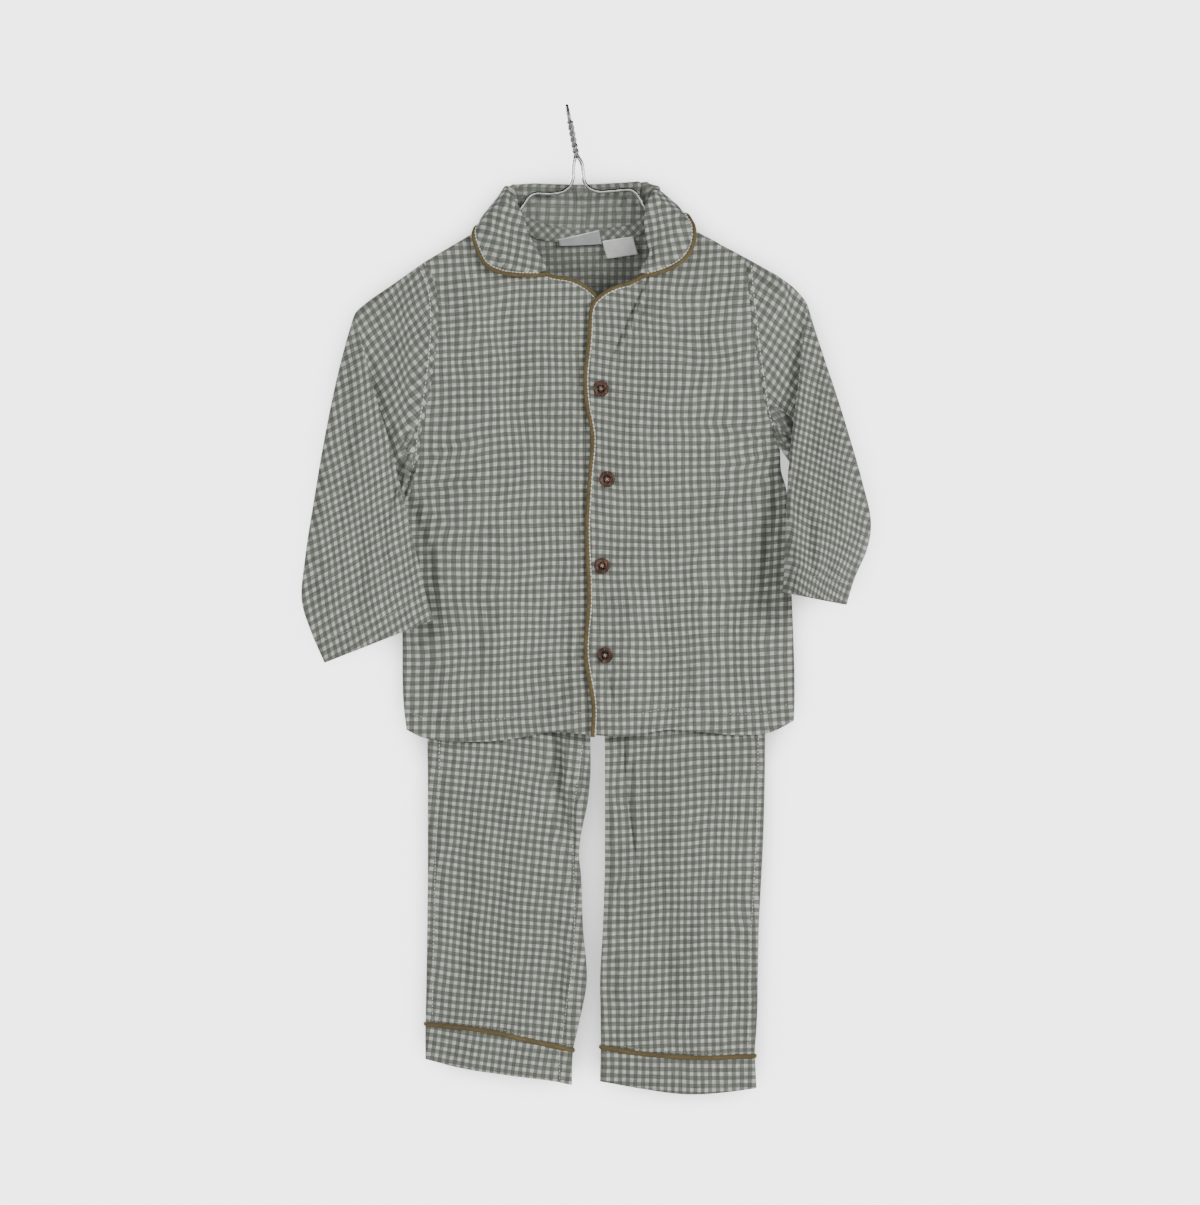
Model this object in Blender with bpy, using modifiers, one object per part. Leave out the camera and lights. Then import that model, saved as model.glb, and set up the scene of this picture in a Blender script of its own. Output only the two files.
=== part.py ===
"""Child's pyjama set on a wire hanger: a long-sleeved jacket over long trousers.

The object is built in metres, +Z up, +X to the viewer's right and -Y towards the viewer. Its
origin is the top of the inside of the hook, where a rail carries it. The tables give millimetres:
x to the right, drop down from the origin, and depth from the hanger's plane, front negative.
"""
import math

import bpy
import numpy as np

MM = 0.001
SEAM_GAP = 0.3             # between sewn pieces
SEAM_STAND = 0.36          # from the middle plane to a folded seam, mid-wall
WALL = 1.2                 # cloth with its seam allowances
EDGE_RADIUS = 3.0          # soft roll at a side seam or shoulder
CROWN_WIDTH = 70.0         # from an edge to the full depth of a tube
PIPING_RADIUS = 1.3
LAP_TUCK = 2.8             # how far the under front lies behind the upper one
WIRE_RADIUS = 1.15
BUTTON_RADIUS = 7.2
BUTTON_THICKNESS = 2.6
ARMHOLE_GAP = 1.1          # between the middles of two walls that meet at an angle
CUFF_GAP = 2.0 * (PIPING_RADIUS + SEAM_GAP)

# Jacket outlines: the armhole down to the underarm, then the side seam (drop, x).
LEFT_UNDERARM = 328.0
LEFT_OUTLINE = (
    (140.0, -128.5), (155.0, -120.0), (190.0, -115.0), (226.0, -118.0), (268.0, -125.0),
    (297.0, -131.5), (318.0, -134.0), (328.0, -139.5), (336.0, -147.0), (350.0, -150.5),
    (400.0, -150.0), (470.0, -148.0), (534.0, -147.0), (570.0, -143.0),
)
RIGHT_UNDERARM = 303.0
RIGHT_OUTLINE = (
    (136.0, 160.5), (157.0, 162.0), (188.0, 165.5), (223.0, 170.0), (252.0, 175.0),
    (280.0, 181.0), (297.0, 188.0), (303.0, 190.5), (328.0, 192.5), (344.0, 197.0),
    (440.0, 202.0), (534.0, 204.5), (570.0, 203.0),
)
# Shoulder lines from the neck out over the ends of the hanger (x, drop).
LEFT_SHOULDER = ((-52.0, 94.5), (-128.5, 140.0), (-178.0, 173.5), (-190.0, 184.0))
RIGHT_SHOULDER = ((76.5, 92.0), (130.0, 119.5), (160.5, 136.0), (196.0, 155.5), (212.0, 170.0))
# Necklines, from the shoulder to the front opening or across the back (x, drop).
LEFT_NECK = ((-52.0, 94.5), (-46.5, 106.0), (-40.5, 121.0), (-32.0, 137.0), (-19.5, 153.5),
             (4.5, 159.5), (18.0, 166.5), (28.0, 176.5))
RIGHT_NECK = ((23.0, 189.0), (25.0, 180.0), (32.0, 172.5), (41.0, 167.0), (62.0, 159.5),
              (71.0, 150.0), (78.0, 139.0), (81.5, 124.0), (80.0, 105.0), (76.5, 92.0))
BACK_NECK = ((-52.0, 94.5), (-40.0, 98.5), (-28.0, 105.0), (-4.0, 109.5), (35.0, 110.0),
             (64.0, 105.0), (76.5, 92.0))
# Edge of the upper front, which waves a little between the buttons (drop, x).
FRONT_EDGE = ((189.0, 23.0), (211.0, 22.0), (246.0, 18.5), (268.0, 20.0), (296.0, 25.0),
              (334.0, 22.5), (380.0, 20.0), (444.0, 22.0), (491.0, 19.0), (540.0, 26.0),
              (568.0, 25.0))
UNDER_EDGE = ((176.5, 28.0), (200.0, 42.0), (260.0, 44.0), (420.0, 46.0), (568.0, 46.0))
HEM = ((-145.0, 560.0), (-131.0, 567.0), (-75.0, 570.5), (-49.0, 568.0), (-12.0, 562.0),
       (22.0, 564.5), (53.0, 566.0), (90.0, 560.0), (128.0, 563.0), (158.0, 565.0),
       (185.0, 562.0), (204.0, 552.0))
BACK_HEM_RISE = 5.0
HEM_MIDDLE = 565.0
TOP_SHAPE_REACH = 200.0    # how far down a panel its upper edge still bends the columns
BODY_MIDDLE = 28.0
BODY_HALF_WIDTH = 175.0
BODY_CROWN = {-1: (8.0, 16.0), 1: (7.0, 14.0)}      # side: depth at the sides, in the middle
# Long soft waves down each face (centre x at the hem, lean, half width, height, first drop).
BODY_WAVES = {
    -1: ((-95.0, 0.02, 26.0, 2.4, 260.0), (-28.0, -0.05, 24.0, -2.0, 300.0),
         (62.0, 0.03, 24.0, 2.0, 330.0), (128.0, 0.06, 26.0, -2.2, 250.0)),
    1: ((-70.0, 0.03, 30.0, 2.4, 240.0), (20.0, -0.02, 28.0, -2.0, 280.0),
        (110.0, 0.04, 30.0, 2.2, 230.0)),
}

# Sleeve rings after the armhole (outer x, drop, inner x, drop, front tuck, front lift,
# depth of the outer edge, of the inner edge, half thickness).
LEFT_SLEEVE = (
    (-157.5, 160.5, -147.5, 331.0, 0.0, 0.0, 0.0, -1.0, 8.5),
    (-178.0, 174.5, -150.0, 334.0, -6.0, 0.0, 0.0, -1.0, 6.5),
    (-187.0, 181.8, -151.5, 336.0, -9.0, 0.0, 0.0, -1.5, 6.0),
    (-190.0, 185.0, -152.0, 338.0, -3.5, 3.4, 0.0, -3.0, 6.0),
    (-191.8, 189.0, -150.8, 340.0, 1.5, 6.0, -0.5, -5.5, 6.0),
    (-194.0, 196.0, -149.0, 347.0, 0.0, 5.5, -1.0, -8.5, 6.0),
    (-198.0, 210.0, -144.9, 361.0, 0.0, 3.0, -2.0, -12.0, 6.0),
    (-207.0, 246.0, -142.2, 374.0, 0.0, 1.0, -4.0, -15.0, 6.0),
    (-217.8, 300.0, -137.7, 391.5, 0.0, 0.0, -6.5, -17.5, 6.0),
    (-226.8, 354.0, -132.3, 414.0, 0.0, 0.0, -8.5, -19.5, 6.0),
    (-234.9, 408.0, -127.0, 436.5, 0.0, 0.0, -10.0, -21.0, 6.0),
    (-237.6, 444.0, -125.0, 443.5, 0.0, 0.0, -11.0, -21.5, 6.0),
    (-229.5, 471.0, -122.4, 452.0, 0.0, 0.0, -11.5, -22.0, 6.0),
    (-217.0, 500.0, -119.7, 461.7, 0.0, 0.0, -12.0, -22.5, 6.0),
)
RIGHT_SLEEVE = (
    (189.0, 151.8, 194.5, 311.0, 0.0, 0.0, 0.0, -1.0, 8.5),
    (204.0, 163.0, 198.5, 321.0, 6.0, 0.0, 0.0, -1.0, 7.0),
    (211.0, 170.5, 200.5, 325.0, 9.0, 0.0, 0.0, -1.5, 6.5),
    (213.8, 174.0, 201.5, 326.5, 3.5, 3.4, 0.0, -3.0, 6.5),
    (216.2, 178.5, 199.8, 328.0, -1.5, 6.0, -0.5, -5.5, 6.5),
    (217.8, 184.0, 198.8, 334.0, 0.0, 5.5, -1.5, -8.5, 6.5),
    (220.5, 193.5, 198.0, 344.7, 0.0, 3.0, -3.0, -11.5, 7.0),
    (231.3, 228.0, 197.0, 358.0, 0.0, 1.0, -6.5, -14.5, 8.5),
    (243.0, 264.0, 196.2, 373.5, 0.0, 0.0, -10.0, -17.5, 11.0),
    (253.8, 300.0, 195.3, 389.7, 0.0, 0.0, -13.0, -20.0, 14.0),
    (263.7, 336.0, 194.8, 405.0, 0.0, 0.0, -16.0, -22.0, 17.0),
    (271.7, 374.0, 194.3, 416.0, 0.0, 0.0, -19.0, -23.5, 20.0),
    (268.5, 397.0, 193.9, 423.0, 0.0, 0.0, -21.0, -24.5, 22.0),
    (256.5, 425.0, 193.3, 429.0, 0.0, 0.0, -23.0, -25.5, 23.5),
    (249.5, 448.0, 192.6, 436.5, 0.0, 0.0, -24.5, -26.0, 24.0),
)

# Collar stations round the neck (neck x, drop, roll x, drop, edge x, drop, facing in degrees
# seen from above: 0 to the front, 90 to the left, 180 to the back, level: -1 front, 1 back).
COLLAR = (
    (-20.5, 152.0, -18.0, 149.5, -25.0, 151.0, 0.0, -1.0),
    (-27.0, 144.0, -21.5, 141.0, -40.0, 151.0, 0.0, -1.0),
    (-34.0, 132.5, -27.5, 130.0, -57.5, 148.5, 0.0, -1.0),
    (-40.0, 119.5, -34.0, 116.0, -71.0, 141.5, 0.0, -1.0),
    (-45.5, 106.5, -38.5, 101.5, -77.0, 131.0, 8.0, -1.0),
    (-49.5, 98.5, -43.5, 87.5, -81.5, 118.5, 30.0, -1.0),
    (-51.5, 94.5, -49.0, 76.5, -81.8, 112.0, 60.0, -0.6),
    (-51.5, 93.5, -51.5, 72.0, -79.5, 105.8, 90.0, 0.0),
    (-46.5, 96.0, -44.5, 70.5, -66.0, 106.0, 140.0, 0.8),
    (-29.0, 103.8, -27.0, 71.0, -34.0, 114.0, 175.0, 1.0),
    (-4.0, 109.0, -2.0, 71.5, -4.0, 117.0, 180.0, 1.0),
    (16.0, 109.8, 16.0, 71.5, 16.0, 118.0, 180.0, 1.0),
    (35.0, 109.5, 34.0, 71.0, 36.0, 117.5, 180.0, 1.0),
    (61.0, 104.0, 59.0, 69.5, 66.0, 114.0, 188.0, 1.0),
    (72.5, 96.0, 71.0, 69.5, 90.0, 103.0, 225.0, 0.8),
    (76.0, 91.0, 79.0, 72.0, 103.5, 95.0, 270.0, 0.0),
    (77.0, 93.5, 74.5, 79.0, 109.5, 103.0, 300.0, -0.6),
    (78.0, 97.5, 71.0, 88.0, 111.8, 109.0, 330.0, -1.0),
    (79.5, 108.0, 69.0, 104.0, 111.5, 122.0, 350.0, -1.0),
    (80.0, 124.0, 72.0, 121.5, 105.0, 135.0, 360.0, -1.0),
    (76.5, 138.5, 74.0, 132.5, 95.0, 143.0, 360.0, -1.0),
    (71.0, 148.0, 68.5, 143.5, 82.0, 148.5, 360.0, -1.0),
    (66.0, 153.5, 64.5, 150.5, 70.0, 151.5, 360.0, -1.0),
)
COLLAR_FOLD = 4.6          # from the stand to the fall at the roll
NECK_MIDDLE = (14.0, 96.0)
NECK_INSET = 1.6
COLLAR_CLEARANCE = 2.9     # from a panel's middle to the middle of the fall over it

# Trousers (drop, left side x, left inside x, right inside x, right side x).
TROUSERS = (
    (259.0, -94.0, 27.0, 27.0, 148.0), (287.0, -98.0, 27.0, 27.0, 152.0),
    (330.0, -113.0, 27.0, 27.0, 166.0), (380.0, -121.0, 27.0, 27.0, 175.0),
    (430.0, -125.0, 27.0, 27.0, 179.0), (475.0, -126.0, 26.6, 27.4, 180.0),
    (500.0, -126.0, 23.8, 31.0, 179.8), (569.0, -125.5, 21.0, 34.0, 178.0),
    (600.0, -125.0, 21.0, 34.2, 177.8), (624.0, -125.0, 18.8, 34.2, 177.3),
    (656.0, -125.0, 12.4, 34.2, 176.4), (674.0, -125.0, 10.8, 34.2, 175.6),
    (690.0, -125.0, 12.4, 34.0, 174.8), (737.0, -125.5, 14.2, 32.4, 172.4),
    (787.0, -126.3, 17.6, 29.8, 171.4), (813.0, -126.8, 13.3, 30.2, 171.0),
    (833.0, -127.0, 8.8, 30.4, 170.0), (849.0, -127.0, 5.2, 30.6, 168.8),
    (882.0, -127.0, 4.0, 29.8, 170.0),
)
CROTCH = 475.0
LEG_END = 900.0            # below both cuffs
CUFF_SEAM_LEVEL = 845.0
CUFF_LEVEL = 860.0
WAIST_TOP = 259.0
WAISTBAND_HEIGHT = 28.0
WAISTBAND_WALL = 1.6
TROUSER_CROWN = 9.0
TROUSER_CROWN_WIDTH = 60.0
# Seam above each cuff and lower edge of each cuff (x, drop).
LEFT_CUFF_SEAM = ((-127.0, 825.0), (-76.0, 830.0), (-32.0, 840.0), (5.0, 849.0))
LEFT_CUFF_HEM = ((-127.0, 856.5), (-98.0, 863.5), (-54.0, 870.0), (-11.0, 876.5), (5.0, 880.0))
RIGHT_CUFF_SEAM = ((30.0, 845.5), (67.0, 851.0), (112.0, 854.0), (169.0, 854.0))
RIGHT_CUFF_HEM = ((30.0, 876.5), (67.0, 882.5), (105.0, 887.0), (146.0, 885.5), (170.0, 882.5))
# Long folds down the legs (x, drop from, drop to, lean, half width, height).
LEG_WAVES = {
    -1: ((-4.0, 560.0, 760.0, 0.02, 14.0, -2.6), (-72.0, 600.0, 830.0, -0.03, 24.0, 2.2),
         (68.0, 560.0, 700.0, 0.12, 12.0, -2.2), (128.0, 600.0, 860.0, 0.0, 24.0, 2.2)),
    1: ((-60.0, 560.0, 820.0, 0.03, 24.0, 2.4), (100.0, 560.0, 840.0, -0.03, 26.0, 2.2)),
}

# Buttons on the upper front (x, drop).
BUTTONS = ((30.6, 254.7), (36.0, 335.7), (31.5, 413.1), (34.2, 493.2))
# Labels inside the back neck (corner x, drop, width, height, turn in degrees, clearance).
LABELS = ((-8.0, 121.0, 37.5, 12.5, 10.0, 0.5), (31.8, 120.8, 28.0, 15.5, 4.0, 0.5))

# Hanger wire (x, drop), in the plane of the shoulders.
LEFT_BRANCH = ((7.4, 45.0), (6.2, 50.0), (5.4, 56.0), (5.4, 64.0), (2.5, 71.5), (-4.5, 76.5),
               (-15.0, 78.0), (-30.0, 78.3), (-33.5, 80.5), (-42.3, 92.5), (-52.0, 100.6),
               (-128.5, 145.0), (-172.0, 173.5), (-181.0, 181.0))
RIGHT_BRANCH = ((9.95, 45.0), (13.0, 50.0), (14.2, 57.0), (15.6, 67.0), (19.5, 72.5), (27.9, 76.0),
                (42.0, 75.4), (58.5, 75.0), (62.0, 77.5), (69.3, 89.5), (75.5, 98.5),
                (130.0, 124.5), (160.5, 140.5), (195.0, 159.0), (204.0, 166.5))
LEFT_TURN = ((-183.5, 185.0), (-181.5, 189.0), (-176.0, 190.5))
RIGHT_TURN = ((207.0, 171.0), (205.5, 176.5), (200.0, 178.5))
STEM_LEAN = 0.194
HOOK_RADIUS = 12.0
STEM_TOP = 15.0
STEM_BOTTOM = 44.5
STRAND_OFFSET = 1.05
STEM_TURNS = 3.0
CLIPS = (-62.0, 116.0)
CLIP_WIDTH = 22.0
CLIP_SHEET = 1.4

SAGE_GREY = (0.245, 0.25, 0.225)
OCHRE = (0.15, 0.105, 0.045)


# ---------------------------------------------------------------- curves and depths

def hermite(keys, values, at):
    """Smooth curve through a table's rows: values has one row for each key."""
    keys = np.asarray(keys, float)
    values = np.asarray(values, float)
    at = min(max(at, keys[0]), keys[-1])
    index = int(min(max(np.searchsorted(keys, at, side="right") - 1, 0), len(keys) - 2))
    slopes = (values[1:] - values[:-1]) / (keys[1:] - keys[:-1])[:, None]
    tangents = np.vstack([slopes[:1], 0.5 * (slopes[1:] + slopes[:-1]), slopes[-1:]])
    step = keys[index + 1] - keys[index]
    t = (at - keys[index]) / step
    start = (1 + 2 * t) * (1 - t) ** 2 * values[index] + t * (1 - t) ** 2 * step * tangents[index]
    end = t * t * (3 - 2 * t) * values[index + 1] - t * t * (1 - t) * step * tangents[index + 1]
    return start + end


def follow(table, key):
    """The other column of a two-column table at a value of its first column."""
    rows = np.asarray(table, float)
    return float(hermite(rows[:, 0], rows[:, 1:], key)[0])


def along(points, fractions):
    """Points at fractions of the length of a smooth curve through points."""
    points = np.asarray(points, float)
    keys = np.concatenate([[0.0], np.cumsum(np.linalg.norm(np.diff(points[:, :2], axis=0), axis=1))])
    return [hermite(keys, points, f * keys[-1]) for f in fractions]


def ease(value):
    value = min(max(value, 0.0), 1.0)
    return value * value * (3.0 - 2.0 * value)


def distance_to_line(x, drop, line):
    """Distance from a point to a chain of straight lines."""
    best = 1e9
    for (x0, d0), (x1, d1) in zip(line[:-1], line[1:]):
        run = (x1 - x0) ** 2 + (d1 - d0) ** 2
        t = min(max(((x - x0) * (x1 - x0) + (drop - d0) * (d1 - d0)) / run, 0.0), 1.0)
        best = min(best, math.hypot(x - x0 - t * (x1 - x0), drop - d0 - t * (d1 - d0)))
    return best


def tube_depth(edge, crown, width=CROWN_WIDTH, radius=EDGE_RADIUS):
    """Half depth of a flattened tube at a distance from its folded edge."""
    inner = 1.0 - min(edge / radius, 1.0)
    return radius * math.sqrt(1.0 - inner * inner) + (crown - radius) * ease(edge / width)


def wave(offset, half_width, height):
    """One soft ridge, or trough if its height is negative."""
    return height * math.exp(-(offset / half_width) ** 2)


def side_line(outline, underarm):
    """The side seam below the underarm, carried on past the hem."""
    below = HEM_MIDDLE + 55.0
    return tuple((x, drop) for drop, x in outline if drop >= underarm) + ((outline[-1][1], below),)


BODY_EDGES = (LEFT_SHOULDER, RIGHT_SHOULDER, side_line(LEFT_OUTLINE, LEFT_UNDERARM),
              side_line(RIGHT_OUTLINE, RIGHT_UNDERARM))


def body_depth(x, drop, side):
    """Half depth of the jacket's body on its front (-1) or back (+1)."""
    edge = min(distance_to_line(x, drop, line) for line in BODY_EDGES)
    at_side, at_middle = BODY_CROWN[side]
    across = min(abs(x - BODY_MIDDLE) / BODY_HALF_WIDTH, 1.0)
    crown = at_side + (at_middle - at_side) * (1.0 - across * across)
    depth = tube_depth(edge, crown)
    fade = ease((edge - 6.0) / 40.0)
    for centre, lean, half_width, height, first in BODY_WAVES[side]:
        offset = x - centre - lean * (drop - HEM_MIDDLE)
        depth += fade * ease((drop - first) / 220.0) * wave(offset, half_width, height)
    return depth


def body_point(x, drop, side, out=0.0):
    return (x, side * (body_depth(x, drop, side) + SEAM_STAND + out), drop)


def trouser_row(drop):
    rows = np.asarray(TROUSERS, float)
    return hermite(rows[:, 0], rows[:, 1:], drop)


def trouser_edges():
    """Folded edges of the trousers: both sides, and both insides below the crotch."""
    rows = TROUSERS
    below = [row for row in rows if row[0] >= CROTCH]
    last = LEG_END
    return (
        tuple((row[1], row[0]) for row in rows) + ((rows[-1][1], last),),
        tuple((row[4], row[0]) for row in rows) + ((rows[-1][4], last),),
        tuple((row[2], row[0]) for row in below) + ((rows[-1][2], last),),
        tuple((row[3], row[0]) for row in below) + ((rows[-1][3], last),),
    )


TROUSER_EDGES = trouser_edges()


def trouser_depth(x, drop, side):
    edge = min(distance_to_line(x, drop, line) for line in TROUSER_EDGES)
    crown = TROUSER_CROWN - 2.5 * (1.0 - ease((drop - WAIST_TOP) / 110.0))
    depth = tube_depth(edge, crown, TROUSER_CROWN_WIDTH)
    fade = ease((edge - 5.0) / 26.0)
    for centre, first, last, lean, half_width, height in LEG_WAVES[side]:
        strength = ease((drop - first) / 90.0) * (1.0 - ease((drop - last) / 60.0))
        offset = x - centre - lean * (drop - first)
        depth += fade * strength * wave(offset, half_width, height)
    return depth


def trouser_point(x, drop, side, out=0.0):
    return (x, side * (trouser_depth(x, drop, side) + SEAM_STAND + out), drop)


# ---------------------------------------------------------------- scene helpers

def clear_scene():
    for item in list(bpy.data.objects):
        bpy.data.objects.remove(item, do_unlink=True)


def principled(name, colour, roughness, metallic=0.0):
    material = bpy.data.materials.new(name)
    material.use_nodes = True
    shader = material.node_tree.nodes["Principled BSDF"]
    shader.inputs["Base Color"].default_value = (*colour, 1.0)
    shader.inputs["Roughness"].default_value = roughness
    shader.inputs["Metallic"].default_value = metallic
    return material


def place(item, material, group):
    item.data.materials.append(principled(f"{item.name}_{material[0]}", *material[1:]))
    group.objects.link(item)
    return item


CLOTH = ("cloth", SAGE_GREY, 0.9)
PIPING = ("piping", OCHRE, 0.8)
STEEL = ("steel", (0.6, 0.6, 0.58), 0.3, 1.0)
COCONUT = ("coconut", (0.09, 0.04, 0.02), 0.45)
LABEL = ("label", (0.6, 0.6, 0.58), 0.7)


def cloth(name, rows, group, material=CLOTH, ring=False, thickness=WALL):
    """A wall of cloth: rows of points lofted into a sheet, or into a tube if each is a ring."""
    count = len(rows[0])
    vertices = [(x * MM, y * MM, -drop * MM) for row in rows for x, y, drop in row]
    faces = []
    for r in range(len(rows) - 1):
        for c in range(count if ring else count - 1):
            nxt = (c + 1) % count
            faces.append((r * count + c, r * count + nxt, (r + 1) * count + nxt, (r + 1) * count + c))
    mesh = bpy.data.meshes.new(name)
    mesh.from_pydata(vertices, [], faces)
    mesh.update()
    mesh.shade_smooth()
    item = bpy.data.objects.new(name, mesh)
    wall = item.modifiers.new("wall", "SOLIDIFY")
    wall.thickness = thickness * MM
    wall.offset = 0.0
    return place(item, material, group)


def wire(name, points, radius, group, material, closed=False, sides=1):
    """A round cord or wire through points given as (x, depth, drop)."""
    data = bpy.data.curves.new(name, "CURVE")
    data.dimensions = "3D"
    data.bevel_depth = radius * MM
    data.bevel_resolution = sides
    data.use_fill_caps = not closed
    spline = data.splines.new("POLY")
    spline.points.add(len(points) - 1)
    for target, (x, y, drop) in zip(spline.points, points):
        target.co = (x * MM, y * MM, -drop * MM, 1.0)
    spline.use_cyclic_u = closed
    item = bpy.data.objects.new(name, data)
    return place(item, material, group)


# ---------------------------------------------------------------- jacket body

ARMHOLE_STEPS = (0.0, 0.003, 0.018, 0.05, 0.13, 0.23, 0.34, 0.46, 0.58, 0.70, 0.81, 0.90, 0.96, 1.0)
LEFT_NECK_STEPS = (0.0, 0.28, 0.48, 0.6, 0.72, 0.86, 1.0)
RIGHT_NECK_STEPS = (0.0, 0.07, 0.15, 0.25, 0.37, 0.49, 0.66, 0.83, 1.0)
BELOW_STEPS = (0.06, 0.15, 0.25, 0.36, 0.47, 0.58, 0.69, 0.80, 0.91, 1.0)


def panel_grid(top, left, right, hem, side, tuck=None):
    """Rows of a jacket panel from its upper edge to its hem.

    top is a list of (fraction across, (x, drop)); left and right give x at a drop.
    """
    columns = []
    for across, (top_x, top_drop) in top:
        under = LEFT_UNDERARM + (RIGHT_UNDERARM - LEFT_UNDERARM) * panel_share(top_x)
        hem_x = left(HEM[0][1]) + (right(HEM[0][1]) - left(HEM[0][1])) * across
        end = hem(hem_x)
        drops = [top_drop + (under - top_drop) * step for step in ARMHOLE_STEPS]
        drops += [under + (end - under) * step for step in BELOW_STEPS]
        shift = top_x - (left(top_drop) + (right(top_drop) - left(top_drop)) * across)
        column = []
        for drop in drops:
            keep = max(1.0 - (drop - top_drop) / TOP_SHAPE_REACH, 0.0) ** 2
            x = left(drop) + (right(drop) - left(drop)) * across + shift * keep
            column.append(body_point(x, drop, side, -tuck(x, drop) if tuck else 0.0))
        columns.append(column)
    return [list(row) for row in zip(*columns)]


def panel_share(x):
    """0 at the left armhole and 1 at the right one."""
    start = LEFT_OUTLINE[0][1]
    return min(max((x - start) / (RIGHT_OUTLINE[0][1] - start), 0.0), 1.0)


def left_outline(drop):
    return follow(LEFT_OUTLINE, drop)


def right_outline(drop):
    return follow(RIGHT_OUTLINE, drop)


def under_edge(drop):
    return follow(UNDER_EDGE, drop)


def front_edge(drop):
    return follow(FRONT_EDGE, drop)


def front_hem(x):
    return follow(HEM, x)


def back_hem(x):
    return follow(HEM, x) - BACK_HEM_RISE


def top_edge(pieces):
    """Upper edge from its stretches, each (points, fractions of it that carry a column)."""
    lengths = [curve_length(points) for points, _ in pieces]
    total = sum(lengths)
    result = []
    done = 0.0
    for (points, fractions), length in zip(pieces, lengths):
        for fraction, point in zip(fractions, along(points, fractions)):
            result.append(((done + fraction * length) / total, tuple(point)))
        done += length
    return result


def curve_length(points):
    points = np.asarray(points, float)
    return float(np.sum(np.linalg.norm(np.diff(points, axis=0), axis=1)))


def under_tuck(x, drop):
    """How far the under front is set back where the upper one laps over it."""
    return LAP_TUCK * ease((x - 2.0) / 16.0) * ease((drop - 158.0) / 10.0)


def left_front_rows():
    shoulder = (LEFT_SHOULDER[1], LEFT_SHOULDER[0])
    top = top_edge(((shoulder, (0.0, 0.006, 0.06, 0.3, 0.62)), (LEFT_NECK, LEFT_NECK_STEPS)))
    return panel_grid(top, left_outline, under_edge, front_hem, -1, under_tuck)


def right_front_rows():
    shoulder = RIGHT_SHOULDER[:3]
    top = top_edge(((RIGHT_NECK, RIGHT_NECK_STEPS), (shoulder, (0.35, 0.7, 0.94, 0.994, 1.0))))
    return panel_grid(top, front_edge, right_outline, front_hem, -1)


def back_rows():
    left = (LEFT_SHOULDER[1], LEFT_SHOULDER[0])
    right = RIGHT_SHOULDER[:3]
    top = top_edge((
        (left, (0.0, 0.006, 0.06, 0.36, 0.7)),
        (BACK_NECK, (0.0, 0.14, 0.32, 0.5, 0.68, 0.86, 1.0)),
        (right, (0.3, 0.64, 0.94, 0.994, 1.0)),
    ))
    return panel_grid(top, left_outline, right_outline, back_hem, 1)


# ---------------------------------------------------------------- sleeves

def clear_of_body(x, y, drop):
    """Keep a hanging sleeve in front of the jacket's side, where it lies over it."""
    left_over = x - left_outline(drop) if drop > LEFT_UNDERARM else -50.0
    right_over = right_outline(drop) - x if drop > RIGHT_UNDERARM else -50.0
    over = min(left_over, right_over) if min(left_over, right_over) > -50.0 else -50.0
    near = ease((over + 8.0) / 8.0)
    limit = -(body_depth(x, drop, -1) if over > 0.0 else 0.0) - WALL - 2.2
    return min(y, y + (limit - y) * near) if y > limit else y


def moved_out(points, distance):
    """A seam's points moved sideways in the hanger's plane, to the right if positive."""
    result = []
    for index, (x, y, drop) in enumerate(points):
        before = points[max(index - 1, 0)]
        after = points[min(index + 1, len(points) - 1)]
        run = math.hypot(after[0] - before[0], after[2] - before[2])
        result.append((x + distance * (after[2] - before[2]) / run, y,
                       drop - distance * (after[0] - before[0]) / run))
    return result


def sleeve_rings(armhole_front, armhole_back, table, direction):
    """Rings of a sleeve from the edges of the front and back panels to the wrist."""
    first = moved_out(armhole_front, direction * ARMHOLE_GAP)
    first += list(reversed(moved_out(armhole_back, direction * ARMHOLE_GAP)))
    runs = [math.dist(a[::2], b[::2]) for a, b in zip(armhole_front, armhole_front[1:])]
    steps = np.cumsum([0.0] + runs)
    shares = list(steps / steps[-1])
    half = len(shares)
    rings = [first]
    for row in table:
        outer_x, outer_drop, inner_x, inner_drop, tuck, lift, outer_y, inner_y, thick = row
        width = math.hypot(inner_x - outer_x, inner_drop - outer_drop)
        radius = min(thick, EDGE_RADIUS + 1.17 * max(thick - 6.0, 0.0), 0.5 * width)
        ring = []
        for index in range(2 * half):
            front = index < half
            share = shares[index] if front else shares[2 * half - 1 - index]
            edge = min(share, 1.0 - share) * width
            depth = tube_depth(edge, thick, 0.42 * width, radius) + 0.5 * SEAM_GAP
            x = outer_x + (inner_x - outer_x) * share
            drop = outer_drop + (inner_drop - outer_drop) * share
            y = outer_y + (inner_y - outer_y) * share
            if front:
                x += tuck * ease(share * 1.15) * (1.0 - 0.5 * ease((share - 0.9) / 0.1))
                y -= lift * ease(share * 2.5) * (1.0 - 0.6 * ease((share - 0.92) / 0.08))
                y -= depth
            else:
                y += depth
                x += 0.5 * tuck * ease((share - 0.9) / 0.1)
            if lift > 0.0 or inner_y < -7.0:
                y = clear_of_body(x, y, drop)
            ring.append((x, y, drop))
        rings.append(ring)
    return rings


# ---------------------------------------------------------------- collar

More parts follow.
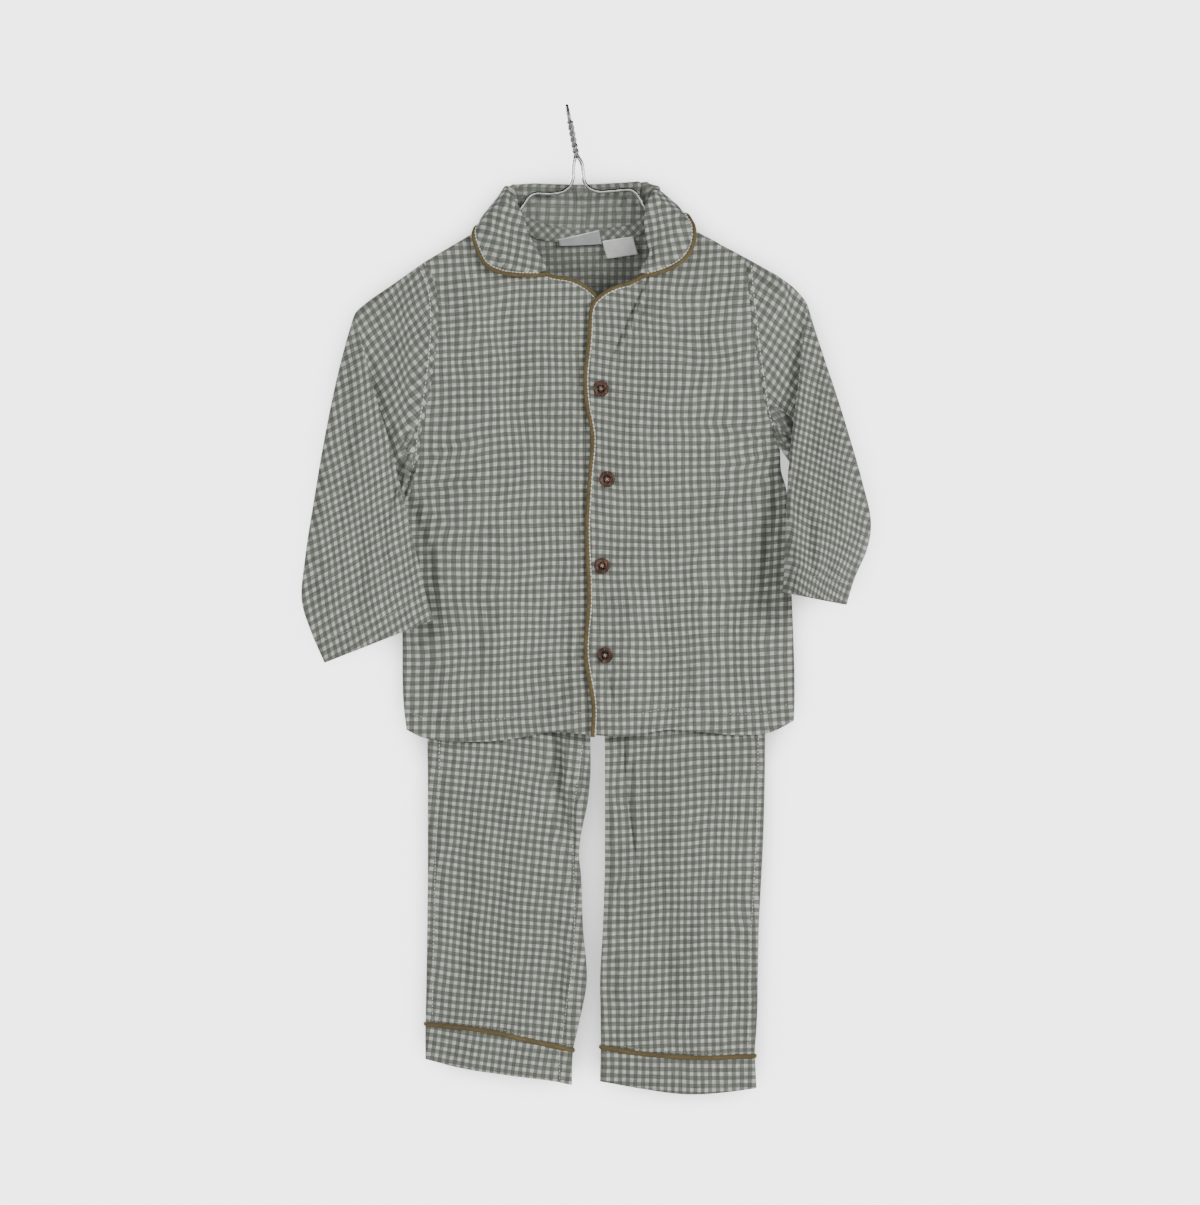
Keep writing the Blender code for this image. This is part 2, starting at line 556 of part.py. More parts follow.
def collar_section(station, necks):
    """Points across the collar at one station: stand, roll and fall, to the outer edge."""
    neck_x, neck_drop, roll_x, roll_drop, edge_x, edge_drop, facing, level = station
    angle = math.radians(facing)
    out = np.array([-math.sin(angle), -math.cos(angle), 0.0])
    neck_side = -1 if level < 0 else 1
    neck_name = "back" if neck_side > 0 else "left" if neck_x < BODY_MIDDLE else "right"
    neck_x, neck_drop = inside_neck(neck_x, neck_drop, necks[neck_name])
    neck_y = level * (body_depth(neck_x, neck_drop, neck_side) + SEAM_STAND)
    rise = np.array([roll_x - neck_x, 0.0, roll_drop - neck_drop])
    height = float(np.linalg.norm(rise))
    rise = rise / height
    neck = np.array([neck_x, neck_y, neck_drop])
    roll = np.array([roll_x, neck_y, roll_drop]) + out * 1.0
    back_off = min(3.5, 0.4 * height)
    fold = min(COLLAR_FOLD, 3.4 + 0.05 * height)
    stand_top = roll - rise * back_off
    fall_top = roll - rise * back_off + out * fold
    apex = roll + out * 0.5 * fold
    points = [neck, 0.5 * (neck + stand_top), stand_top, roll - rise * 0.3, apex]
    points += [roll - rise * 0.3 + out * fold, fall_top]
    edge_y = fall_top[1]
    for share in (0.3, 0.6, 0.85, 1.0):
        x = fall_top[0] + (edge_x - fall_top[0]) * share
        drop = fall_top[2] + (edge_drop - fall_top[2]) * share
        shell = over_body(x, drop, neck_side)
        y = edge_y
        if level < 0.0:
            y = min(edge_y, -shell)
        elif level > 0.0:
            y = max(edge_y, shell)
        points.append(np.array([x, y, drop]))
    return points


def over_body(x, drop, side):
    """Depth of a cloth that lies over the jacket, or 0 where it is clear above a shoulder."""
    line = sorted(LEFT_SHOULDER if x < BODY_MIDDLE else RIGHT_SHOULDER)
    if line[0][0] < x < line[-1][0]:
        above = float(np.interp(x, [p[0] for p in line], [p[1] for p in line])) - drop
    else:
        above = -1.0
    if above <= 0.0:
        return body_depth(x, drop, side) + COLLAR_CLEARANCE
    gap = EDGE_RADIUS + distance_to_line(x, drop, line)
    return math.sqrt(max((EDGE_RADIUS + COLLAR_CLEARANCE) ** 2 - gap * gap, 0.0))


def inside_neck(x, drop, line):
    """The nearest point of a neckline made of straight lines, moved just inside the neck."""
    best = (1e9, x, drop)
    for (x0, d0), (x1, d1) in zip(line[:-1], line[1:]):
        run = math.hypot(x1 - x0, d1 - d0)
        t = min(max(((x - x0) * (x1 - x0) + (drop - d0) * (d1 - d0)) / run ** 2, 0.0), 1.0)
        near_x = x0 + t * (x1 - x0)
        near_drop = d0 + t * (d1 - d0)
        normal = ((d1 - d0) / run, (x0 - x1) / run)
        inward = normal[0] * (NECK_MIDDLE[0] - near_x) + normal[1] * (NECK_MIDDLE[1] - near_drop)
        inset = math.copysign(NECK_INSET, inward)
        gap = math.hypot(x - near_x, drop - near_drop)
        best = min(best, (gap, near_x + normal[0] * inset, near_drop + normal[1] * inset))
    return best[1:]


def collar_rows(count, necks):
    stations = [np.array(collar_section(station, necks)) for station in COLLAR]
    keys = [float(index) for index in range(len(stations))]
    flat = [station.reshape(-1) for station in stations]
    rows = []
    for index in range(count):
        key = keys[-1] * index / (count - 1)
        rows.append([tuple(point) for point in hermite(keys, flat, key).reshape(-1, 3)])
    return rows


def edge_piping(line, offset):
    """A cord along the edge of a front, on the side away from the cloth."""
    flat = [(x, 0.0, drop) for x, drop in line]
    turned = -offset if line[0][0] < line[-1][0] and line[0][1] < line[-1][1] else offset
    cord = []
    for (x, _, drop), (edge_x, edge_drop) in zip(moved_out(flat, -turned), line):
        tuck = under_tuck(edge_x, edge_drop) if turned < 0.0 else 0.0
        cord.append(body_point(x, drop, -1, -tuck))
    return cord


def beside(rows, offset):
    """Points beyond the last column of rows, in the cloth's own direction."""
    edge = [np.array(row[-1]) for row in rows]
    points = []
    for index, row in enumerate(rows):
        tangent = edge[min(index + 1, len(rows) - 1)] - edge[max(index - 1, 0)]
        tangent /= np.linalg.norm(tangent)
        step = edge[index] - np.array(row[-2])
        step -= tangent * step.dot(tangent)
        points.append(tuple(edge[index] + step * offset / np.linalg.norm(step)))
    return points


# ---------------------------------------------------------------- trousers

LEG_STEPS = (0.0, 0.07, 0.15, 0.24, 0.335, 0.37, 0.405, 0.46, 0.52, 0.58, 0.64, 0.70, 0.76, 0.82,
             0.88, 0.94, 1.0)
LEG_COLUMNS = (0.0, 0.004, 0.03, 0.14, 0.3, 0.46, 0.62, 0.78, 0.92, 0.99, 1.0)


def leg_rows(leg, side):
    """Rows of one leg panel from the waistband to the seam above the cuff."""
    seam = LEFT_CUFF_SEAM if leg == "left" else RIGHT_CUFF_SEAM
    start = WAIST_TOP + WAISTBAND_HEIGHT + SEAM_GAP
    rows = []
    for step in LEG_STEPS:
        row = []
        for across in LEG_COLUMNS:
            bottom = leg_across(leg, across, CUFF_SEAM_LEVEL)
            end = follow(seam, bottom) - 0.5 * CUFF_GAP
            drop = start + (end - start) * step
            row.append(trouser_point(leg_across(leg, across, drop), drop, side))
        rows.append(row)
    return rows


def leg_across(leg, across, drop):
    """x at a fraction of one leg's width, from its outer side to its inside."""
    left_side, left_inside, right_inside, right_side = trouser_row(drop)
    if leg == "left":
        return left_side + (left_inside - 0.5 * SEAM_GAP - left_side) * across
    return right_side + (right_inside + 0.5 * SEAM_GAP - right_side) * across


def leg_ring(leg, drop_at, columns, out=0.0):
    """A closed ring round one leg, whose drop follows a line."""
    ring = []
    for side, shares in ((-1, columns), (1, tuple(reversed(columns))[1:-1])):
        for across in shares:
            drop = drop_at(leg_across(leg, across, CUFF_LEVEL))
            x = leg_across(leg, across, drop)
            swell = out if 0.0 < across < 1.0 else 0.0
            y = side * (trouser_depth(x, drop, side) + swell)
            ring.append((x, 0.0 if across in (0.0, 1.0) else y, drop))
    return ring


def cuff_line(seam, hem, share, gap=0.5 * CUFF_GAP):
    """Drop at x on a line from just below a cuff's seam (share 0) to its lower edge (1)."""
    def drop_at(x):
        top = follow(seam, x) + gap
        return top + (follow(hem, x) - top) * share
    return drop_at


WAISTBAND_SHARES = (0.0, 0.006, 0.03, 0.1, 0.22, 0.36, 0.5, 0.64, 0.78, 0.9, 0.97, 0.994)


def waistband_rings():
    rings = []
    for drop in (WAIST_TOP, WAIST_TOP + 0.5 * WAISTBAND_HEIGHT, WAIST_TOP + WAISTBAND_HEIGHT):
        left_side, _, _, right_side = trouser_row(drop)
        ring = []
        for side, direction in ((-1, 1), (1, -1)):
            for share in WAISTBAND_SHARES:
                across = share if direction > 0 else 1.0 - share
                x = left_side + (right_side - left_side) * across
                y = 0.0 if share == 0.0 else side * trouser_depth(x, drop, side)
                ring.append((x, y, drop))
        rings.append(ring)
    return rings


# ---------------------------------------------------------------- hanger, buttons, labels

def hanger_wire(group):
    path = list(LEFT_BRANCH) + list(LEFT_TURN) + [(-60.0, 187.5), (90.0, 182.0)]
    path += list(reversed(RIGHT_TURN)) + list(reversed(RIGHT_BRANCH))
    points = [(x, 0.0, drop) for x, drop in path]
    wire("hanger_wire", points, WIRE_RADIUS, group, STEEL, sides=2)


def stem_path(share):
    """The stem leans to the right and bends forward under the hook."""
    drop = STEM_BOTTOM + (STEM_TOP - STEM_BOTTOM) * share
    y = -(HOOK_RADIUS) * ease((share - 0.35) / 0.65)
    return np.array([STEM_LEAN * drop, y, drop])


def hanger_stem(group):
    """Two strands twisted together, as one waisted section that turns along the stem."""
    rings = []
    count = 26
    sides = 10
    for index in range(count + 1):
        share = index / count
        centre = stem_path(share)
        ring = []
        for k in range(sides):
            angle = 2.0 * math.pi * k / sides
            radius = WIRE_RADIUS + STRAND_OFFSET * abs(math.cos(angle))
            turn = angle + math.pi * 2.0 * STEM_TURNS * share
            x = centre[0] + radius * math.cos(turn)
            y = centre[1] + radius * math.sin(turn)
            ring.append((x, y, centre[2]))
        rings.append(ring)
    vertices = [(x * MM, y * MM, -drop * MM) for ring in rings for x, y, drop in ring]
    faces = []
    for r in range(count):
        for k in range(sides):
            nxt = (k + 1) % sides
            faces.append((r * sides + k, r * sides + nxt, (r + 1) * sides + nxt, (r + 1) * sides + k))
    faces.append(tuple(reversed(range(sides))))
    faces.append(tuple(count * sides + k for k in range(sides)))
    mesh = bpy.data.meshes.new("hanger_stem")
    mesh.from_pydata(vertices, [], faces)
    mesh.update()
    mesh.shade_smooth()
    place(bpy.data.objects.new("hanger_stem", mesh), STEEL, group)


def hanger_hook(group):
    points = [(STEM_LEAN * (STEM_TOP - SEAM_GAP), -HOOK_RADIUS, STEM_TOP - SEAM_GAP)]
    for index in range(17):
        angle = math.pi * index / 16
        drop = HOOK_RADIUS - WIRE_RADIUS - HOOK_RADIUS * math.sin(angle)
        points.append((STEM_LEAN * drop, -HOOK_RADIUS * math.cos(angle), drop))
    points.append((STEM_LEAN * 15.0, HOOK_RADIUS + 0.6, 15.0))
    points.append((STEM_LEAN * 19.0, HOOK_RADIUS + 2.4, 19.0))
    wire("hanger_hook", points, WIRE_RADIUS, group, STEEL, sides=2)


def bar_drop(x):
    """Drop of the hanger's lower bar at x."""
    return float(np.interp(x, (-176.0, -60.0, 90.0, 200.0), (190.5, 187.5, 182.0, 178.5)))


def clip(name, x, group):
    """A bent strip: a hook over the bar and two jaws over the waistband."""
    bar = bar_drop(x)
    half = 0.5 * CLIP_WIDTH
    jaw = max(trouser_depth(x + dx, drop, side) for dx in (-half, 0.0, half)
              for drop in (WAIST_TOP, WAIST_TOP + 22.0) for side in (-1, 1))
    jaw += 0.5 * WAISTBAND_WALL + SEAM_GAP
    reach = WIRE_RADIUS + 0.75
    outer = reach + CLIP_SHEET
    top = WAIST_TOP - 6.0
    low = WAIST_TOP + 24.0
    turns = [math.pi * k / 6 for k in range(1, 6)]
    outline = [(-outer, bar + 3.0), (-outer, bar)]
    outline += [(-outer * math.cos(a), bar - outer * math.sin(a)) for a in turns]
    outline += [(outer, bar), (outer, bar + 16.0), (CLIP_SHEET, bar + 22.0), (CLIP_SHEET, top - CLIP_SHEET)]
    outline += [(jaw + CLIP_SHEET, top + 4.0), (jaw + CLIP_SHEET, low), (jaw, low), (jaw, top + 5.0)]
    outline += [(0.0, top + CLIP_SHEET), (-jaw, top + 5.0), (-jaw, low), (-jaw - CLIP_SHEET, low)]
    outline += [(-jaw - CLIP_SHEET, top + 4.0), (0.0, top - CLIP_SHEET), (0.0, bar + 21.0)]
    outline += [(reach, bar + 15.0), (reach, bar)]
    outline += [(reach * math.cos(a), bar - reach * math.sin(a)) for a in turns]
    outline += [(-reach, bar), (-reach, bar + 3.0)]
    data = bpy.data.curves.new(name, "CURVE")
    data.dimensions = "2D"
    data.fill_mode = "BOTH"
    data.extrude = 0.5 * CLIP_WIDTH * MM
    spline = data.splines.new("POLY")
    spline.points.add(len(outline) - 1)
    for target, (y, drop) in zip(spline.points, outline):
        target.co = (y * MM, -drop * MM, 0.0, 1.0)
    spline.use_cyclic_u = True
    item = bpy.data.objects.new(name, data)
    item.location = (x * MM, 0.0, 0.0)
    item.rotation_euler = (math.pi / 2.0, 0.0, math.pi / 2.0)
    place(item, STEEL, group)


def button(name, x, drop, group):
    """A turned disc with a raised rim and a dished middle, facing the viewer."""
    half = 0.5 * BUTTON_THICKNESS
    profile = ((0.0, half - 0.9), (4.2, half - 0.9), (5.2, half), (6.5, half), (BUTTON_RADIUS, half - 0.8),
               (BUTTON_RADIUS, -half + 0.6), (6.2, -half), (0.0, -half))
    mesh = bpy.data.meshes.new(name)
    mesh.from_pydata([(r * MM, 0.0, z * MM) for r, z in profile], [(i, i + 1) for i in range(7)], [])
    item = bpy.data.objects.new(name, mesh)
    turned = item.modifiers.new("turned", "SCREW")
    turned.steps = 18
    turned.render_steps = 18
    turned.use_merge_vertices = True
    turned.merge_threshold = 0.00001
    seat = max(body_depth(x + dx, drop + dd, -1) for dx in (-6.0, 0.0, 6.0) for dd in (-6.0, 0.0, 6.0))
    y = -(seat + 0.5 * SEAM_GAP + 0.5 * WALL + SEAM_GAP + half)
    item.location = (x * MM, y * MM, -drop * MM)
    item.rotation_euler = (math.pi / 2.0, 0.0, 0.0)
    place(item, COCONUT, group)


def label(name, row, group):
    x, drop, width, height, turn, clearance = row
    angle = math.radians(turn)
    rows = []
    for down in (0.0, 0.5, 1.0):
        line = []
        for across in (0.0, 0.25, 0.5, 0.75, 1.0):
            px = x + across * width * math.cos(angle) + down * height * math.sin(angle)
            pd = drop - across * width * math.sin(angle) + down * height * math.cos(angle)
            depth = body_depth(px, pd, 1) + 0.5 * SEAM_GAP - 0.5 * WALL - SEAM_GAP - 0.5 - clearance
            line.append((px, depth - 1.2 * down, pd))
        rows.append(line)
    cloth(name, rows, group, LABEL, thickness=1.0)


# ---------------------------------------------------------------- the whole set

def build_jacket(group):
    left_front = left_front_rows()
    right_front = right_front_rows()
    back = back_rows()
    cloth("front_left", left_front, group)
    cloth("front_right", right_front, group)
    cloth("back", back, group)
    count = len(ARMHOLE_STEPS)
    left_seam = [row[0] for row in left_front[:count]]
    left_back = [row[0] for row in back[:count]]
    right_seam = [row[-1] for row in right_front[:count]]
    right_back = [row[-1] for row in back[:count]]
    cloth("sleeve_left", sleeve_rings(left_seam, left_back, LEFT_SLEEVE, -1), group, ring=True)
    cloth("sleeve_right", sleeve_rings(right_seam, right_back, RIGHT_SLEEVE, 1), group, ring=True)
    necks = {
        "left": [(x, drop) for x, _, drop in left_front[0][-len(LEFT_NECK_STEPS):]],
        "right": [(x, drop) for x, _, drop in right_front[0][:len(RIGHT_NECK_STEPS)]],
        "back": [(x, drop) for x, _, drop in back[0][5:12]],
    }
    collar = collar_rows(39, necks)
    cloth("collar", collar, group)
    reach = PIPING_RADIUS + SEAM_GAP
    wire("collar_piping", beside(collar, reach + 0.3), PIPING_RADIUS, group, PIPING)
    left_neck = [(x, drop) for x, _, drop in left_front[0][-4:]]
    wire("piping_left", edge_piping(left_neck, reach), PIPING_RADIUS, group, PIPING)
    right_neck = [(x, drop) for x, _, drop in reversed(right_front[0][1:5])]
    edge = [(row[0][0], row[0][2]) for row in right_front]
    right_neck += edge[:1] + [(x, drop) for x, drop in edge if drop > FRONT_EDGE[0][0] + SEAM_GAP]
    wire("piping_right", edge_piping(right_neck, reach), PIPING_RADIUS, group, PIPING)
    for index, (x, drop) in enumerate(BUTTONS, 1):
        button(f"button_{index}", x, drop, group)
    for index, row in enumerate(LABELS, 1):
        label(f"label_{index}", row, group)


def build_trousers(group):
    for leg in ("left", "right"):
        for face, side in (("front", -1), ("back", 1)):
            cloth(f"leg_{leg}_{face}", leg_rows(leg, side), group)
    columns = (0.0, 0.012, 0.05, 0.2, 0.4, 0.6, 0.8, 0.95, 0.988, 1.0)
    cuffs = (("left", LEFT_CUFF_SEAM, LEFT_CUFF_HEM), ("right", RIGHT_CUFF_SEAM, RIGHT_CUFF_HEM))
    for leg, seam, hem in cuffs:
        rings = [leg_ring(leg, cuff_line(seam, hem, share), columns, 0.3)
                 for share in (0.0, 0.35, 0.7, 1.0)]
        cloth(f"cuff_{leg}", rings, group, ring=True)
        trim = leg_ring(leg, cuff_line(seam, seam, 0.0, 0.0), columns, 0.5)
        wire(f"cuff_piping_{leg}", trim, PIPING_RADIUS, group, PIPING, closed=True)
    cloth("waistband", waistband_rings(), group, ring=True, thickness=WAISTBAND_WALL)


def build_hanger(group):
    hanger_hook(group)
    hanger_stem(group)
    hanger_wire(group)
    for name, x in zip(("clip_left", "clip_right"), CLIPS):
        clip(name, x, group)


def main():
    clear_scene()
    group = bpy.data.collections.new("pyjama_set")
    bpy.context.scene.collection.children.link(group)
    build_jacket(group)
    build_trousers(group)
    build_hanger(group)


main()
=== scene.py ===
"""Looks of the child's pyjama set: gingham cloth, piping, buttons, labels and the wire hanger.

Tables are in millimetres, as (x, drop) in the hanger's plane: x to the viewer's right, drop down
from the hook, and depth towards the back. Meshes are made in metres: (x, depth, -drop) / 1000.
"""
import math

import bpy
import numpy as np
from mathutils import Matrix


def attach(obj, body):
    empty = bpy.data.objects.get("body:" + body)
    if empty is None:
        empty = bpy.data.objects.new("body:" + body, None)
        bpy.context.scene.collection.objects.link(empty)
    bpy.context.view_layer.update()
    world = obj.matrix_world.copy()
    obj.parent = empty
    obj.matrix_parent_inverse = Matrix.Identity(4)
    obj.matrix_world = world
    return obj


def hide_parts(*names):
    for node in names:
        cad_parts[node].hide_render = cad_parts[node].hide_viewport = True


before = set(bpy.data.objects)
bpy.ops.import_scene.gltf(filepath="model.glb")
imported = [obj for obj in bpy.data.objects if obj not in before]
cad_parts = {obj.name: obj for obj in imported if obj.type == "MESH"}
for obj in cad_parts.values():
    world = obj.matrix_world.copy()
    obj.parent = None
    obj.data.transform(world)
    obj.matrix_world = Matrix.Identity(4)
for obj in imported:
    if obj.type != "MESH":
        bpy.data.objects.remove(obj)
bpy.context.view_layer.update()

MM = 0.001
SEAM_STAND = 0.36          # from the middle plane to a folded seam
WALL = 0.7                 # thickness of the cloth that shows
EDGE_RADIUS = 3
CROWN_WIDTH = 70
PIPING_RADIUS = 1.95
SEAM_GAP = 0.3
LAP_TUCK = 2.8
FRONT_GRID = 1.25          # across the fronts, whose creases run mostly down them
FRONT_ROWS = 2.1
BACK_GRID = 2.9
GRID = 2.6                 # usual spacing of the cloth's points
CHECK = 7.2                # repeat of the gingham
CREASE_GAIN = 2.8
CREASE_NARROW = 0.72
DEPTHWARDS = np.array([0, 1, 0])
STITCH = (                 # along a stitch: share of its length, lift in mm, share of its radius
    (0, -0.22, 0.5), (0.22, 0.10, 0.95), (0.5, 0.16, 1), (0.78, 0.10, 0.95), (1, -0.22, 0.5),
)

# ---------------------------------------------------------------- the set's named lines

LEFT_UNDERARM = 328
LEFT_OUTLINE = (
    (140, -128.5), (155, -120), (190, -115), (226, -118), (268, -125), (297, -131.5), (318, -134),
    (328, -139.5), (336, -147), (350, -150.5), (400, -150), (470, -148), (534, -147), (570, -143),
)
RIGHT_UNDERARM = 303
RIGHT_OUTLINE = (
    (136, 160.5), (157, 162), (188, 165.5), (223, 170), (252, 175), (280, 181), (297, 188), (303, 190.5),
    (328, 192.5), (344, 197), (440, 202), (534, 204.5), (570, 203),
)
LEFT_SHOULDER = ((-52, 94.5), (-128.5, 140), (-178, 173.5), (-190, 184))
RIGHT_SHOULDER = ((76.5, 92), (130, 119.5), (160.5, 136), (196, 155.5), (212, 170))
LEFT_NECK = ((-52, 94.5), (-46.5, 106), (-40.5, 121), (-32, 137), (-19.5, 153.5), (4.5, 159.5), (18, 166.5),
             (28, 176.5))
RIGHT_NECK = ((23, 189), (25, 180), (32, 172.5), (41, 167), (62, 159.5), (71, 150), (78, 139), (81.5, 124),
              (80, 105), (76.5, 92))
BACK_NECK = ((-52, 94.5), (-40, 98.5), (-28, 105), (-4, 109.5), (35, 110), (64, 105), (76.5, 92))
FRONT_EDGE = ((189, 23), (211, 22), (246, 18.5), (268, 20), (296, 25), (334, 22.5), (380, 20), (444, 22),
              (491, 19), (540, 26), (568, 25))
UNDER_EDGE = ((176.5, 28), (200, 42), (260, 44), (420, 46), (568, 46))
HEM = ((-145, 560), (-131, 567), (-75, 570.5), (-49, 568), (-12, 562), (22, 564.5), (53, 566), (90, 560),
       (128, 563), (158, 565), (185, 562), (204, 552))
BACK_HEM_RISE = 5
HEM_MIDDLE = 565
TOP_SHAPE_REACH = 200
BODY_MIDDLE = 28
BODY_HALF_WIDTH = 175
BODY_CROWN = {-1: (8, 16), 1: (7, 14)}
BODY_WAVES = {
    -1: ((-95, 0.02, 26, 2.4, 260), (-28, -0.05, 24, -2, 300),
         (62, 0.03, 24, 2, 330), (128, 0.06, 26, -2.2, 250)),
    1: ((-70, 0.03, 30, 2.4, 240), (20, -0.02, 28, -2, 280),
        (110, 0.04, 30, 2.2, 230)),
}

# Sleeve rings (outer x, drop, inner x, drop, front tuck, front lift, depth of the outer edge,
# of the inner edge, half thickness).
LEFT_SLEEVE = (
    (-157.5, 160.5, -147.5, 331, 0, 0, 0, -1, 8.5), (-178, 174.5, -150, 334, -6, 0, 0, -1, 6.5),
    (-187, 181.8, -151.5, 336, -9, 0, 0, -1.5, 6), (-190, 185, -152, 338, -3.5, 3.4, 0, -3, 6),
    (-191.8, 189, -150.8, 340, 1.5, 6, -0.5, -5.5, 6), (-194, 196, -149, 347, 0, 5.5, -1, -8.5, 6),
    (-198, 210, -144.9, 361, 0, 3, -2, -12, 6), (-207, 246, -142.2, 374, 0, 1, -4, -15, 6),
    (-217.8, 300, -137.7, 391.5, 0, 0, -6.5, -17.5, 6), (-226.8, 354, -132.3, 414, 0, 0, -8.5, -19.5, 6),
    (-234.9, 408, -127, 436.5, 0, 0, -10, -21, 6), (-237.6, 444, -125, 443.5, 0, 0, -11, -21.5, 6),
    (-229.5, 471, -122.4, 452, 0, 0, -11.5, -22, 6), (-217, 500, -119.7, 461.7, 0, 0, -12, -22.5, 6),
)
RIGHT_SLEEVE = (
    (189, 151.8, 194.5, 311, 0, 0, 0, -1, 8.5), (204, 163, 198.5, 321, 6, 0, 0, -1, 7),
    (211, 170.5, 200.5, 325, 9, 0, 0, -1.5, 6.5), (213.8, 174, 201.5, 326.5, 3.5, 3.4, 0, -3, 6.5),
    (216.2, 178.5, 199.8, 328, -1.5, 6, -0.5, -5.5, 6.5), (217.8, 184, 198.8, 334, 0, 5.5, -1.5, -8.5, 6.5),
    (220.5, 193.5, 198, 344.7, 0, 3, -3, -11.5, 7), (231.3, 228, 197, 358, 0, 1, -6.5, -14.5, 8.5),
    (243, 264, 196.2, 373.5, 0, 0, -10, -17.5, 11), (253.8, 300, 195.3, 389.7, 0, 0, -13, -20, 14),
    (263.7, 336, 194.8, 405, 0, 0, -16, -22, 17), (271.7, 374, 194.3, 416, 0, 0, -19, -23.5, 20),
    (268.5, 397, 193.9, 423, 0, 0, -21, -24.5, 22), (256.5, 425, 193.3, 429, 0, 0, -23, -25.5, 23.5),
    (249.5, 448, 192.6, 436.5, 0, 0, -24.5, -26, 24),
)

# Collar stations (neck x, drop, roll x, drop, edge x, drop, facing in degrees, level).
COLLAR = (
    (-20.5, 152, -18, 149.5, -25, 151, 0, -1), (-27, 144, -21.5, 141, -40, 151, 0, -1),
    (-34, 132.5, -27.5, 130, -57.5, 148.5, 0, -1), (-40, 119.5, -34, 116, -71, 141.5, 0, -1),
    (-45.5, 106.5, -38.5, 101.5, -77, 131, 8, -1), (-49.5, 98.5, -43.5, 87.5, -81.5, 118.5, 30, -1),
    (-51.5, 94.5, -49, 76.5, -81.8, 112, 60, -0.6), (-51.5, 93.5, -51.5, 72, -79.5, 105.8, 90, 0),
    (-46.5, 96, -44.5, 70.5, -66, 106, 140, 0.8), (-29, 103.8, -27, 71, -34, 114, 175, 1),
    (-4, 109, -2, 71.5, -4, 117, 180, 1), (16, 109.8, 16, 71.5, 16, 118, 180, 1),
    (35, 109.5, 34, 71, 36, 117.5, 180, 1), (61, 104, 59, 69.5, 66, 114, 188, 1),
    (72.5, 96, 71, 69.5, 90, 103, 225, 0.8), (76, 91, 79, 72, 103.5, 95, 270, 0),
    (77, 93.5, 74.5, 79, 109.5, 103, 300, -0.6), (78, 97.5, 71, 88, 111.8, 109, 330, -1),
    (79.5, 108, 69, 104, 111.5, 122, 350, -1), (80, 124, 72, 121.5, 105, 135, 360, -1),
    (76.5, 138.5, 74, 132.5, 95, 143, 360, -1), (71, 148, 68.5, 143.5, 82, 148.5, 360, -1),
    (66, 153.5, 64.5, 150.5, 70, 151.5, 360, -1),
)
COLLAR_FOLD = 4.6
NECK_MIDDLE = (14, 96)
NECK_INSET = 1.6
COLLAR_CLEARANCE = 2.9

# Trousers (drop, left side x, left inside x, right inside x, right side x).
TROUSERS = (
    (259, -94, 27, 27, 148), (287, -98, 27, 27, 152), (330, -113, 27, 27, 166), (380, -121, 27, 27, 175),
    (430, -125, 27, 27, 179), (475, -126, 26.6, 27.4, 180), (500, -126, 23.8, 31, 179.8),
    (569, -125.5, 21, 34, 178), (600, -125, 21, 34.2, 177.8), (624, -125, 18.8, 34.2, 177.3),
    (656, -125, 12.4, 34.2, 176.4), (674, -125, 10.8, 34.2, 175.6), (690, -125, 12.4, 34, 174.8),
    (737, -125.5, 14.2, 32.4, 172.4), (787, -126.3, 17.6, 29.8, 171.4), (813, -126.8, 13.3, 30.2, 171),
    (833, -127, 8.8, 30.4, 170), (849, -127, 5.2, 30.6, 168.8), (882, -127, 4, 29.8, 170),
)
CROTCH = 475
LEG_END = 900
CUFF_SEAM_LEVEL = 845
CUFF_LEVEL = 860
WAIST_TOP = 259
WAISTBAND_HEIGHT = 28
TROUSER_CROWN = 9
TROUSER_CROWN_WIDTH = 60
LEFT_CUFF_SEAM = ((-127, 825), (-76, 830), (-32, 840), (5, 849))
LEFT_CUFF_HEM = ((-127, 856.5), (-98, 863.5), (-54, 870), (-11, 876.5), (5, 880))
RIGHT_CUFF_SEAM = ((30, 845.5), (67, 851), (112, 854), (169, 854))
RIGHT_CUFF_HEM = ((30, 876.5), (67, 882.5), (105, 887), (146, 885.5), (170, 882.5))
LEG_WAVES = {
    -1: ((-4, 560, 760, 0.02, 14, -2.6), (-72, 600, 830, -0.03, 24, 2.2),
         (68, 560, 700, 0.12, 12, -2.2), (128, 600, 860, 0, 24, 2.2)),
    1: ((-60, 560, 820, 0.03, 24, 2.4), (100, 560, 840, -0.03, 26, 2.2)),
}

BUTTONS = ((30.6, 254.7), (36, 335.7), (31.5, 413.1), (34.2, 493.2))
LABELS = (                 # x, drop, width, height, its left end's share of the height, shear, lift, turn
    (-8, 121, 37.5, 12.5, 0.45, 0, 2.2, 13), (31.8, 120.8, 28, 15.5, 1, 0.15, 0.6, 7.5),
)

LEFT_BRANCH = ((7.4, 45), (6.2, 50), (5.4, 56), (5.4, 64), (2.5, 71.5), (-4.5, 76.5), (-15, 78), (-30, 78.3),
               (-33.5, 80.5), (-42.3, 92.5), (-52, 100.6), (-128.5, 145), (-172, 173.5), (-181, 181))
RIGHT_BRANCH = ((9.95, 45), (13, 50), (14.2, 57), (15.6, 67), (19.5, 72.5), (27.9, 76), (42, 75.4),
                (58.5, 75), (62, 77.5), (69.3, 89.5), (75.5, 98.5), (130, 124.5), (160.5, 140.5), (195, 159),
                (204, 166.5))
LEFT_TURN = ((-183.5, 185), (-181.5, 189), (-176, 190.5))
RIGHT_TURN = ((207, 171), (205.5, 176.5), (200, 178.5))
LOWER_BAR = ((-60, 187.5), (90, 182))
WIRE_RADIUS = 1.15
FRAME_RADIUS = 1.65
STEM_LEAN = 0.194
